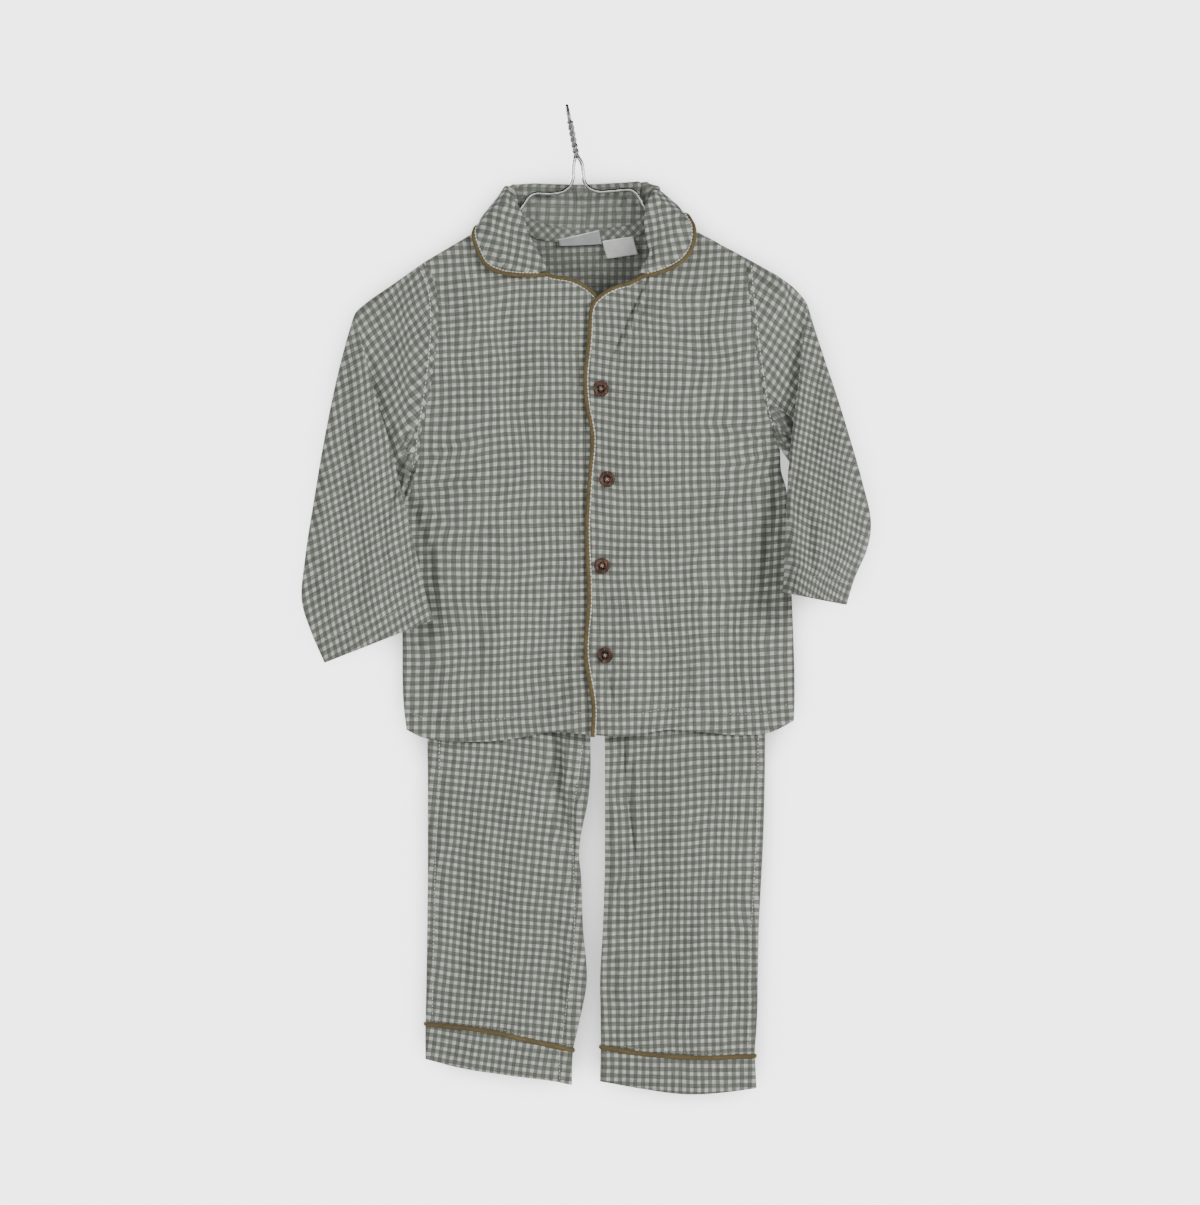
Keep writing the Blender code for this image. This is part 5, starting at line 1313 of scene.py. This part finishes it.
BACK_LEG_CREASES = (
    (-90, 570, -96, 700, 5, 12, 1), (-50, 590, -56, 730, -5, 12, -1), (-10, 570, -4, 690, 3, 8, 1),
    (-80, 700, -74, 828, -5, 11, 0.9), (-30, 690, -24, 834, 4, 10, -0.9), (60, 575, 66, 700, 4, 9, 1),
    (110, 580, 104, 720, -5, 12, -1), (146, 600, 150, 750, 5, 11, 0.9), (80, 700, 86, 840, -5, 11, 0.9),
    (130, 716, 124, 842, 4, 10, -0.9),
)
LEG_FOLDS = (              # sharp folds of the legs: x, drop, x, drop, bow, half width, depth
    (-9, 558, -5, 656, 1, 8.5, 10), (-1, 558, 3, 646, 1, 3.2, -4), (2, 622, 8, 700, -1.5, 3.4, 4),
    (7, 600, 14, 690, -1.5, 3, -2), (15.5, 566, 14, 616, -1, 3, 2.4), (52, 560, 54.5, 614, 0.5, 2.2, 3.6),
    (54.5, 600, 67, 700, 1.5, 2.2, 3.4),
)
INSEAM = (                 # drop and x of the left leg's inner seam, which rolls to the front
    (574, 14), (615, 8.6), (642, 5.6), (678, 5.6), (723, 7), (768, 5), (821, -1.5), (840, -4.5),
)
CUFF_SEAMS = (             # x, drop, x, drop, bow, half width, depth
    (-6, 842, -7.5, 880, 0.5, 2.2, 1.8), (-98, 830, -101, 866, 1, 2.2, 0.8),
    (-90, 834, -93, 866, 1, 2.4, 0.5), (146, 856, 147, 884, 0.5, 2.2, 0.7),
)
LEG_SEAM_RIDGE = 5.5     # from a leg's edge to the ridge over its seam's allowance
LEG_GRID = 1.6
LEG_WIDTH = 150
BACK_LEG_GRID = 3
HIDDEN_LEG = 535         # drop above which the jacket hides the legs
CUFF_CLEAR = 2 * (1.3 + SEAM_GAP)


def leg_across(leg, across, drop):
    """x at a fraction of one leg's width, from its outer side to its inside."""
    row = trouser_row(drop)
    if leg == "left":
        return row[..., 0] + (row[..., 1] - 0.15 - row[..., 0]) * across
    return row[..., 3] + (row[..., 2] + 0.15 - row[..., 3]) * across


def leg_relief(leg, x, drop, side):
    table = FRONT_LEG_CREASES if side < 0 else BACK_LEG_CREASES
    edge = edge_distance(x, drop, TROUSER_EDGES)
    seam = LEFT_CUFF_SEAM if leg == "left" else RIGHT_CUFF_SEAM
    relief = creases(x, drop, table)
    if side < 0:
        relief -= creases(x, drop, LEG_FOLDS) / CREASE_GAIN
    relief += 0.9 * soft_noise(x + 200, drop, 36) + 0.42 * soft_noise(x + 77, drop, 13)
    up = follow(seam, x) - drop
    relief *= 0.3 + 0.7 * ease((up - 1) / 22)
    relief += puckers(x, up - 4, 7, 0.32, 8, 7 if side < 0 else 8)
    relief += 0.30 * bell(edge - LEG_SEAM_RIDGE, 2)
    relief += puckers(drop, edge - LEG_SEAM_RIDGE, 4, 0.16, 8, 9)
    relief *= ease((drop - WAIST_TOP - WAISTBAND_HEIGHT) / 60)
    return relief * ease((edge - 0.6) / 7)


def build_leg(leg, side):
    """Front or back of one leg, down to its cuff's seam."""
    seam = LEFT_CUFF_SEAM if leg == "left" else RIGHT_CUFF_SEAM
    start = WAIST_TOP + WAISTBAND_HEIGHT + SEAM_GAP
    across = spread(LEG_WIDTH, BACK_LEG_GRID if side > 0 else LEG_GRID) / LEG_WIDTH
    end = follow(seam, leg_across(leg, across, CUFF_SEAM_LEVEL)) - 0.5 * CUFF_CLEAR
    shown = np.linspace(HIDDEN_LEG, CUFF_SEAM_LEVEL, int((CUFF_SEAM_LEVEL - HIDDEN_LEG) / GRID))
    levels = np.concatenate([np.arange(start, HIDDEN_LEG, 6), shown])
    drop = start + (end - start) * ((levels - start) / (CUFF_SEAM_LEVEL - start))[:, None]
    x = leg_across(leg, np.broadcast_to(across, drop.shape), drop)
    points = laid(x, trouser_depth(x, drop, side) + SEAM_STAND + leg_relief(leg, x, drop, side), drop, side)
    points[:, (0, -1), 1] = side * SEAM_CLOSED
    angles, shift, inset = {"left": ((5, 97, 6.9, 6.9), 13, SEAM_INSET_LEFT),
                            "right": ((0, 88, 7, 7.1), 29, SEAM_INSET_RIGHT)}[leg]
    place = f"{leg}_front" if side < 0 else f"{leg}_back"
    cloth(f"cloth_leg_{place}", points, weave_plan(points, *angles) + shift, GINGHAM_TROUSERS,
          replaces=(f"leg_{place}",))
    stitches(f"stitch_side_{place}", (on_grid(points, side, *leg_seam(points, inset)),), PALE_THREAD)
    hem_stitches(f"stitch_leg_{place}", ((points, side, 4, 4),), 2.4, SAGE_THREAD, 2, 1.2)
    if place == "left_front":
        stitches("stitch_inseam", (on_grid(points, side, *leg_line(points, INSEAM)),), PALE_THREAD)


SEAM_INSET_LEFT = ((540, 12), (630, 9), (690, 6.5), (860, 6))     # drop, mm from the side
SEAM_INSET_RIGHT = ((540, 6), (615, 6), (720, 6.5), (860, 7))


def leg_seam(points, inset):
    """Rows and columns of the felled seam's stitches down the outer side of a leg."""
    rows = np.arange(2, points.shape[0] - 3)
    columns = []
    for row in rows.astype(int):
        across = np.abs(points[row, :, 0] - points[row, 0, 0])
        columns.append(np.interp(follow(inset, points[row, 0, 2]), across, np.arange(points.shape[1])))
    return rows, np.array(columns)


def leg_line(points, line):
    """Rows and columns of a line of (drop, x) on a leg."""
    rows, columns = [], []
    for drop in np.arange(line[0][0], line[-1][0], 2):
        at = follow(line, drop)
        middle = int(np.argmin(np.abs(points[-1, :, 0] - at)))
        row = float(np.interp(drop, points[:, middle, 2], np.arange(points.shape[0])))
        level = points[int(row), :, 0]
        order = np.argsort(level)
        rows.append(row)
        columns.append(float(np.interp(at, level[order], order)))
    return np.array(rows), np.array(columns)


def leg_ring(leg, drop, across, out):
    """A closed ring round one leg, at a drop for each place across it."""
    x = leg_across(leg, across, drop)
    ends = ease(across / 0.01) * ease((1 - across) / 0.01)
    front, back = (np.stack([x, side * ((trouser_depth(x, drop, side) + out * ends) * (ends > 0)), drop], -1)
                   for side in (-1, 1))
    return np.concatenate([front, back[::-1][1:-1]])


def build_cuff(leg):
    """The turned cuff of one leg and the piping above it."""
    seam, hem, angles = {"left": (LEFT_CUFF_SEAM, LEFT_CUFF_HEM, (8, 98, 7, 7)),
                         "right": (RIGHT_CUFF_SEAM, RIGHT_CUFF_HEM, (1, 91, 7.1, 7.1))}[leg]
    across = spread(LEG_WIDTH, LEG_GRID) / LEG_WIDTH
    x = leg_across(leg, across, CUFF_LEVEL)
    top, bottom = follow(seam, x) + 0.5 * CUFF_CLEAR, follow(hem, x)
    rings = []
    for step in np.linspace(0, 1, 14):
        ring = leg_ring(leg, top + (bottom - top) * step, across, 0.3)
        at, drop = ring[:, 0], ring[:, 2]
        swell = 0.5 * math.sin(math.pi * min(step * 1.1, 1)) + 0.35 * soft_noise(at, drop, 17)
        swell = swell + puckers(at, step * 26 - 2, 6, 0.30, 8, 12)
        swell = swell - creases(at, drop, CUFF_SEAMS) / CREASE_GAIN
        inside = edge_distance(at, drop, TROUSER_EDGES)
        ring[:, 1] += np.where(ring[:, 1] < 0, -1, 1) * swell * ease(inside / 8)
        rings.append(ring)
    points = np.array(rings)
    cloth(f"cloth_cuff_{leg}", points, weave_plan(points, *angles, swing=0.3) + 5, GINGHAM_TROUSERS,
          ring=True, wall=1.2, replaces=(f"cuff_{leg}",))
    if leg == "left":
        down = np.linspace(0.5, 12.5, 13)
        columns = [np.interp(-6.2, points[int(row), :len(across), 0], np.arange(len(across))) for row in down]
        stitches("stitch_cuff", (on_grid(points, -1, down, np.array(columns), 0.6),), PALE_THREAD)
    cord(f"trim_cuff_{leg}", leg_ring(leg, follow(seam, x), across, 0.5), PIPING_RADIUS + 0.3, PIPING, 1.8,
         replaces=(f"cuff_piping_{leg}",), closed=True, seed=21)


def build_waistband():
    """The gathered casing over the elastic."""
    width = 240
    across = spread(width, 2.4) / width
    edge = np.minimum(across, 1 - across) * width
    rings = []
    for step in np.linspace(0, 1, 14):
        drop = np.full(across.shape, WAIST_TOP + step * WAISTBAND_HEIGHT)
        left, _, _, right = trouser_row(drop[0])
        x = left + (right - left) * across
        halves = []
        for side in (-1, 1):
            wave = np.sin(x * 1.05 + 1.7 * soft_noise(x, 8 * side + 0 * x, 15))
            ripple = 0.55 * wave * math.sin(math.pi * (0.1 + 0.8 * step))
            depth = trouser_depth(x, drop, side) + ripple * ease(edge / 9)
            halves.append(np.stack([x, side * np.where(edge <= 0, 0, depth), drop], -1))
        rings.append(np.concatenate([halves[0], halves[1][::-1][1:-1]]))
    points = np.array(rings)
    cloth("cloth_waistband", points, weave_plan(points * (1.4, 1, 1), 0, 90), GINGHAM_TROUSERS,
          ring=True, wall=1.3, replaces=("waistband",))


# ---------------------------------------------------------------- buttons and labels

def coconut():
    """Polished coconut shell: dark pores and short pale flecks along one grain."""
    look = Look("coconut_shell", (0.09, 0.04, 0.022), 0.4)
    local = look.local()
    grain = look.noise(local, 900, 4, stretch=(1, 1, 0.25))
    patches = look.mapped(look.noise(local, 160), 0.35, 0.65, 0, 1)
    dark = look.mixed(patches, (0.036, 0.016, 0.010), (0.100, 0.044, 0.026))
    colour = look.mixed(look.mapped(grain, 0.56, 0.68, 0, 0.7), dark, (0.30, 0.18, 0.12))
    look.shade(Base_Color=colour, Roughness=look.mapped(grain, 0.3, 0.7, 0.28, 0.5),
               Coat_Weight=0.08, Specular_IOR_Level=0.35)
    return look.bump(grain, 0.45, 0.0005)


BUTTON_PROFILE = (         # (radius, height) from the middle of the dish out over the rim and back
    (3.6, 0.78), (4, 0.80), (4.4, 0.88), (4.9, 1.08), (5.5, 1.28), (6.3, 1.26), (6.9, 0.98), (7.15, 0.50),
    (7.15, -0.2), (6.9, -0.85), (6.1, -1.2), (3.6, -1.25),
)
HOLE_REACH = 2.4
HOLE_RADIUS = 0.95
CROSS_REACH = 1.8
BUTTON_STAND = 0.15 + 0.6 + SEAM_GAP + 1.3    # of a button's middle from the cloth's plain form


def round_at(radius, angle):
    return radius * math.cos(angle), radius * math.sin(angle)


def button_body(name, centre, turn, material, replaces):
    """A turned button whose middle is pierced by four holes."""
    x0, y0, drop0 = centre
    rim, per = 48, 12          # points round the rim, and in each quarter of it
    start = int(round(turn / (2 * math.pi / rim)))
    vertices, faces = [], []

    def put(u, v, height):
        vertices.append((x0 + u, y0 - height, drop0 + v))
        return len(vertices) - 1

    rings = [[put(*round_at(radius, 2 * math.pi * k / rim), height) for k in range(rim)]
             for radius, height in BUTTON_PROFILE]
    for ring, after in zip(rings[:-1], rings[1:]):
        for k in range(rim):
            nxt = (k + 1) % rim
            faces.append((ring[k], after[k], after[nxt], ring[nxt]))

    def plate(ring, height, upper):
        """Each quarter of the pierced middle is bridged from the rim ring to its own hole."""
        middle = put(0, 0, height)
        spokes = [put(*round_at(0.95 * HOLE_REACH, turn + math.pi * 0.5 * q), height) for q in range(4)]
        holes = []
        for q in range(4):
            arc = [ring[(start + q * per + i) % rim] for i in range(per + 1)]
            outer = [middle, spokes[q]] + arc + [spokes[(q + 1) % 4]]
            hx, hd = round_at(HOLE_REACH, turn + math.pi * (0.25 + 0.5 * q))
            hole = []
            for point in outer:
                u, v = vertices[point][0] - x0 - hx, vertices[point][2] - drop0 - hd
                share = HOLE_RADIUS / math.hypot(u, v)
                hole.append(put(hx + share * u, hd + share * v, height))
            for i in range(len(outer)):
                j = (i + 1) % len(outer)
                face = (outer[i], outer[j], hole[j], hole[i])
                faces.append(face if upper else tuple(reversed(face)))
            holes.append(hole)
        return holes

    upper = plate(rings[0], BUTTON_PROFILE[0][1], False)
    lower = plate(rings[-1], BUTTON_PROFILE[-1][1], True)
    for top, bottom in zip(upper, lower):
        for k in range(len(top)):
            nxt = (k + 1) % len(top)
            faces.append((top[k], top[nxt], bottom[nxt], bottom[k]))
    solid(name, vertices, faces, material, "button", replaces)


def build_button(index, x, drop, material, thread, pale):
    """A button with near-black thread in its holes, partly painted shade that makes the holes read dark, and
    a pale cross of thread over them.
    """
    seat = max(float(body_depth(x + dx, drop + dd, -1)) for dx in (-6, 0, 6) for dd in (-6, 0, 6))
    y = -(seat + BUTTON_STAND)
    turn = 2 * math.pi / 48 * (2, 0, 1, 3)[index % 4]
    button_body(f"button_body_{index}", (x, y, drop), turn, material, (f"button_{index}",))
    quarters = [turn + math.pi * (0.25 + 0.5 * q) for q in range(4)]
    # Near-black thread posts in the holes: partly real thread, partly painted shade that makes the holes read
    # dark.
    posts = []
    for u, v in (round_at(HOLE_REACH, angle) for angle in quarters):
        path = [(x + u, y - height, drop + v) for height in (-1.6, -0.6, 0.1, 0.35)]
        posts.append(tube_mesh(path, 0.9 * HOLE_RADIUS, 10))
    solid(f"hole_shade_thread_{index}", *joined(posts), thread, "button")
    cross = []
    for q, angle in enumerate(quarters[:2]):
        path = []
        for share in np.linspace(-1, 1, 9):
            u, v = round_at(CROSS_REACH * share, angle)
            path.append((x + u, y - (0.30 + 0.85 * (1 - share ** 4) + 0.12 * q), drop + v))
        cross.append(tube_mesh(path, 0.34, 8))
    solid(f"button_cross_{index}", *joined(cross), pale, "button")


def woven_tape(name, colour):
    look = Look(name, colour, 0.6)
    local = look.local()
    parts = look.add("SeparateXYZ", local).outputs
    weave = look.times(look.wave(parts[0], 0.0006), look.wave(parts[2], 0.0004))
    patches = look.mapped(look.noise(local, 120, 3), 0.3, 0.7, 0.90, 1.07)
    look.tint(colour, look.times(patches, look.mapped(weave, -1, 1, 0.95, 1.05)))
    look.shade(Sheen_Weight=0.1)
    return look.bump(weave, 0.3, 0.0001)


def build_label(index, row, material):
    """A blank folded tape, sewn in at its upper edge and a little curled."""
    x, drop, width, height, lean, shear, lift, turn = row
    sine, cosine = math.sin(math.radians(turn)), math.cos(math.radians(turn))
    rows = []
    for down in np.linspace(0, 1, 12):
        line = []
        for across in np.linspace(0, 1, 26):
            tall = height * (lean + (1 - lean) * across)
            px = x + across * width * cosine + down * tall * (sine + shear)
            pd = drop - lift - across * width * sine + down * tall * cosine
            bow = 0.5 * math.sin(math.pi * across) * down + 0.35 * math.sin(5 * across + index) * down
            line.append((px, float(inner_back(px, pd)) - 2.3 - 1.6 * down - bow, pd))
        rows.append(line)
    points = np.array(rows)
    cloth(f"label_tape_{index}", points, points[..., ::2], material, wall=0.9,
          replaces=(f"label_{index}",))
    # A rounded fold along the label's top in near-white thread colour: a real fold whose colour is partly a
    # painted highlight along it.
    cord(f"label_fold_pale_highlight_{index}", points[0] + (0, -0.6, -0.2), 0.5, PALE_THREAD, 1, 8, "label")


# ---------------------------------------------------------------- hanger

def galvanised(name, bright, dull, roughness):
    """Drawn zinc-coated wire: bright, with faint lengthwise marks and dull spots."""
    look = Look(name, bright, roughness, 0.95)
    local = look.local()
    spots = look.noise(local, 260, 4)
    marks = look.noise(local, 1400, 3, stretch=(1, 1, 0.2))
    look.shade(Base_Color=look.mixed(look.mapped(spots, 0.42, 0.62, 0, 1), bright, dull),
               Roughness=look.mapped(spots, 0.35, 0.7, roughness, roughness + 0.05))
    return look.bump(marks, 0.02, 0.0002)


def stem_path(share):
    """The stem leans to the right and bends forward under the hook."""
    drop = STEM_BOTTOM + (STEM_TOP - STEM_BOTTOM) * share
    return np.array([STEM_LEAN * drop, -HOOK_RADIUS * float(ease((share - 0.35) / 0.65)), drop])


def build_hanger(steel, dull_steel):
    """Wire frame, twisted stem and hook; the two clips stay the solids themselves."""
    path = (*LEFT_BRANCH, *LEFT_TURN, *LOWER_BAR, *reversed(RIGHT_TURN), *reversed(RIGHT_BRANCH))
    frame_path = resampled([(x, 0, drop) for x, drop in path], 1.5)
    solid("wire_frame", *tube_mesh(frame_path, FRAME_RADIUS, 14), steel, "steel", ("hanger_wire",))

    strands = []
    for strand in (0, math.pi):
        path = []
        for share in np.linspace(0, 1, 90):
            turn = strand + 2 * math.pi * STEM_TURNS * share
            path.append(stem_path(share) + STRAND_OFFSET * np.array([math.cos(turn), math.sin(turn), 0]))
        strands.append(tube_mesh(path, FRAME_RADIUS, 12))
    solid("twisted_stem", *joined(strands), dull_steel, "steel", ("hanger_stem",))

    bend = [(HOOK_RADIUS - WIRE_RADIUS - HOOK_RADIUS * math.sin(angle), -HOOK_RADIUS * math.cos(angle))
            for angle in np.linspace(0, math.pi, 33)]
    side_on = [(STEM_TOP - SEAM_GAP, -HOOK_RADIUS), *bend, (15, HOOK_RADIUS + 0.6), (19, HOOK_RADIUS + 2.4)]
    hook = [(STEM_LEAN * drop, y, drop) for drop, y in side_on]
    radii = [FRAME_RADIUS * 0.9] * (len(hook) - 1) + [WIRE_RADIUS * 0.8]
    solid("hook_wire", *tube_mesh(hook, radii, 12), dull_steel, "steel", ("hanger_hook",))
    for name in ("clip_left", "clip_right"):
        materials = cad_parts[name].data.materials
        materials.clear()
        materials.append(steel)


# ---------------------------------------------------------------- stage, light and camera

FRAME_WIDTH, FRAME_HEIGHT = 1200, 1205      # the picture's size in pixels
MM_PER_PIXEL = 0.9
HOOK_PIXEL = (567, 107)
CAMERA_DISTANCE = 3
SENSOR = 36
WALL_DEPTH = 0.024
WALL_LEVEL = 3.95
FLOOR_LEVEL = -1.08
LIT_POINT = np.array([0, 0, -0.45])
LIGHTS = (                 # name, place, size, power
    ("key", (3.5, -2.8, 0.7), 1.8, 152), ("fill", (-2.9, -2, 0.3), 1.1, 42),
    ("front", (0, -3.2, 0.4), 1, 18), ("rear", (-2.4, 2.9, 0.9), 1.5, 230),
)


def build_camera():
    data = bpy.data.cameras.new("view")
    data.sensor_width = data.sensor_height = SENSOR
    data.lens = SENSOR * CAMERA_DISTANCE / (FRAME_HEIGHT * MM_PER_PIXEL * MM)
    data.clip_end = 20
    camera = bpy.data.objects.new("view", data)
    x = (0.5 * FRAME_WIDTH - HOOK_PIXEL[0]) * MM_PER_PIXEL * MM
    z = -(0.5 * FRAME_HEIGHT - HOOK_PIXEL[1]) * MM_PER_PIXEL * MM
    camera.location = (x, -CAMERA_DISTANCE, z)
    camera.rotation_euler = (math.pi / 2, 0, 0)
    bpy.context.scene.collection.objects.link(camera)
    bpy.context.scene.camera = camera


def backdrop_material():
    """A pale wall that glows evenly and is only there from the front; close to the cloth its glow is dimmed
    by ambient occlusion, a painted soft shadow round the set.
    """
    look = Look("pale_wall", (0.05, 0.05, 0.05), 0.95)
    output = next(node for node in look.tree.nodes if node.type == "OUTPUT_MATERIAL")
    # Painted shadow: the wall's glow is turned down where ambient occlusion finds the cloth close by.
    near = look.add("AmbientOcclusion", samples=16)
    look.fill(near, Distance=0.045)
    look.shade(Emission_Strength=look.mapped(near.outputs["AO"], 0.40, 0.93, 0.90, WALL_LEVEL, True),
               Emission_Color=(1, 1, 1))
    behind = look.add("BsdfTransparent")
    mix = look.add("MixShader")
    backfacing = look.add("NewGeometry").outputs["Backfacing"]
    for socket, value in zip(mix.inputs, (backfacing, look.shader.outputs[0], behind.outputs[0])):
        look.put(socket, value)
    look.fill(output, Surface=mix.outputs[0])
    return look.material


def stage_sheet(name, corners, material):
    mesh = bpy.data.meshes.new(name)
    mesh.from_pydata(corners, [], [(0, 1, 2, 3)])
    mesh.materials.append(material)
    item = bpy.data.objects.new(name, mesh)
    bpy.context.scene.collection.objects.link(item)
    return item


def build_stage():
    """A pale wall and floor, a soft room and four soft lights."""
    w, low, high = 4, FLOOR_LEVEL, 3
    wall = stage_sheet("backdrop", ((-w, WALL_DEPTH, low), (w, WALL_DEPTH, low), (w, WALL_DEPTH, high),
                                    (-w, WALL_DEPTH, high)), backdrop_material())
    wall.visible_diffuse = wall.visible_glossy = wall.visible_shadow = False
    floor = stage_sheet("floor", ((-w, -w, low), (w, -w, low), (w, w, low), (-w, w, low)),
                        Look("pale_floor", (0.80, 0.80, 0.80), 0.95).material)

    world = bpy.data.worlds.new("soft_room")
    world.use_nodes = True
    nodes = Nodes(world.node_tree)
    towards = nodes.add("SeparateXYZ", nodes.add("TexCoord").outputs["Generated"]).outputs[1]
    ahead = nodes.mapped(towards, -0.85, -0.25, 0.24, 0.05, True)
    behind = nodes.mapped(towards, 0.30, 0.85, 0, 0.10, True)
    nodes.fill(world.node_tree.nodes["Background"], Strength=nodes.maths("ADD", ahead, behind))
    bpy.context.scene.world = world
    for name, place, size, power in LIGHTS:
        data = bpy.data.lights.new(name, "AREA")
        data.shape = "SQUARE"
        data.size = size
        data.energy = power
        light = bpy.data.objects.new(name, data)
        light.location = place
        target = LIT_POINT - np.array(place)
        pitch = math.atan2(math.hypot(target[0], target[1]), -target[2])
        light.rotation_euler = (pitch, 0, math.atan2(target[1], target[0]) - math.pi / 2)
        bpy.context.scene.collection.objects.link(light)


# ---------------------------------------------------------------- the whole set


def build_all():
    """Every piece of the set, then its stage."""
    build_camera()
    grids = build_body()
    left_seams = (seam_of(grids, "front_left", 0), seam_of(grids, "back", 0))
    right_seams = (seam_of(grids, "front_right", -1), seam_of(grids, "back", -1))
    build_sleeve("sleeve_left", LEFT_SLEEVE, LEFT_SLEEVE_CREASES, left_seams, -1,
                 ((49.5, 151, 7.6, 7.4), (-10, 65, 6.9, 7.1)))
    build_sleeve("sleeve_right", RIGHT_SLEEVE, RIGHT_SLEEVE_CREASES, right_seams, 1,
                 ((30, 128, 7.3, 7.4), (16, 108.6, 6.4, 6.9)))
    collar = build_collar()
    stitch_body(grids)
    build_bunches()
    build_trims(collar)
    build_neck_tape()
    for leg in ("left", "right"):
        for side in (-1, 1):
            build_leg(leg, side)
        build_cuff(leg)
    build_waistband()
    # Near-black, matt thread for the button holes: partly painted shade in the holes.
    shell, thread = coconut(), thread_material("hole_shade_thread", (0.006, 0.004, 0.003), 0.9, 0, 0.05)
    pale = thread_material("tan_thread", (0.50, 0.41, 0.34))
    for index, (x, drop) in enumerate(BUTTONS, 1):
        build_button(index, x, drop, shell, thread, pale)
    tapes = (woven_tape("tape_grey", (0.40, 0.40, 0.41)), woven_tape("tape_white", (0.70, 0.70, 0.69)))
    for index, row in enumerate(LABELS, 1):
        build_label(index, row, tapes[index - 1])
    build_hanger(galvanised("galvanised_wire", (0.56, 0.56, 0.55), (0.40, 0.40, 0.40), 0.20),
                 galvanised("dull_wire", (0.46, 0.46, 0.46), (0.32, 0.32, 0.32), 0.50))
    build_stage()


build_all()
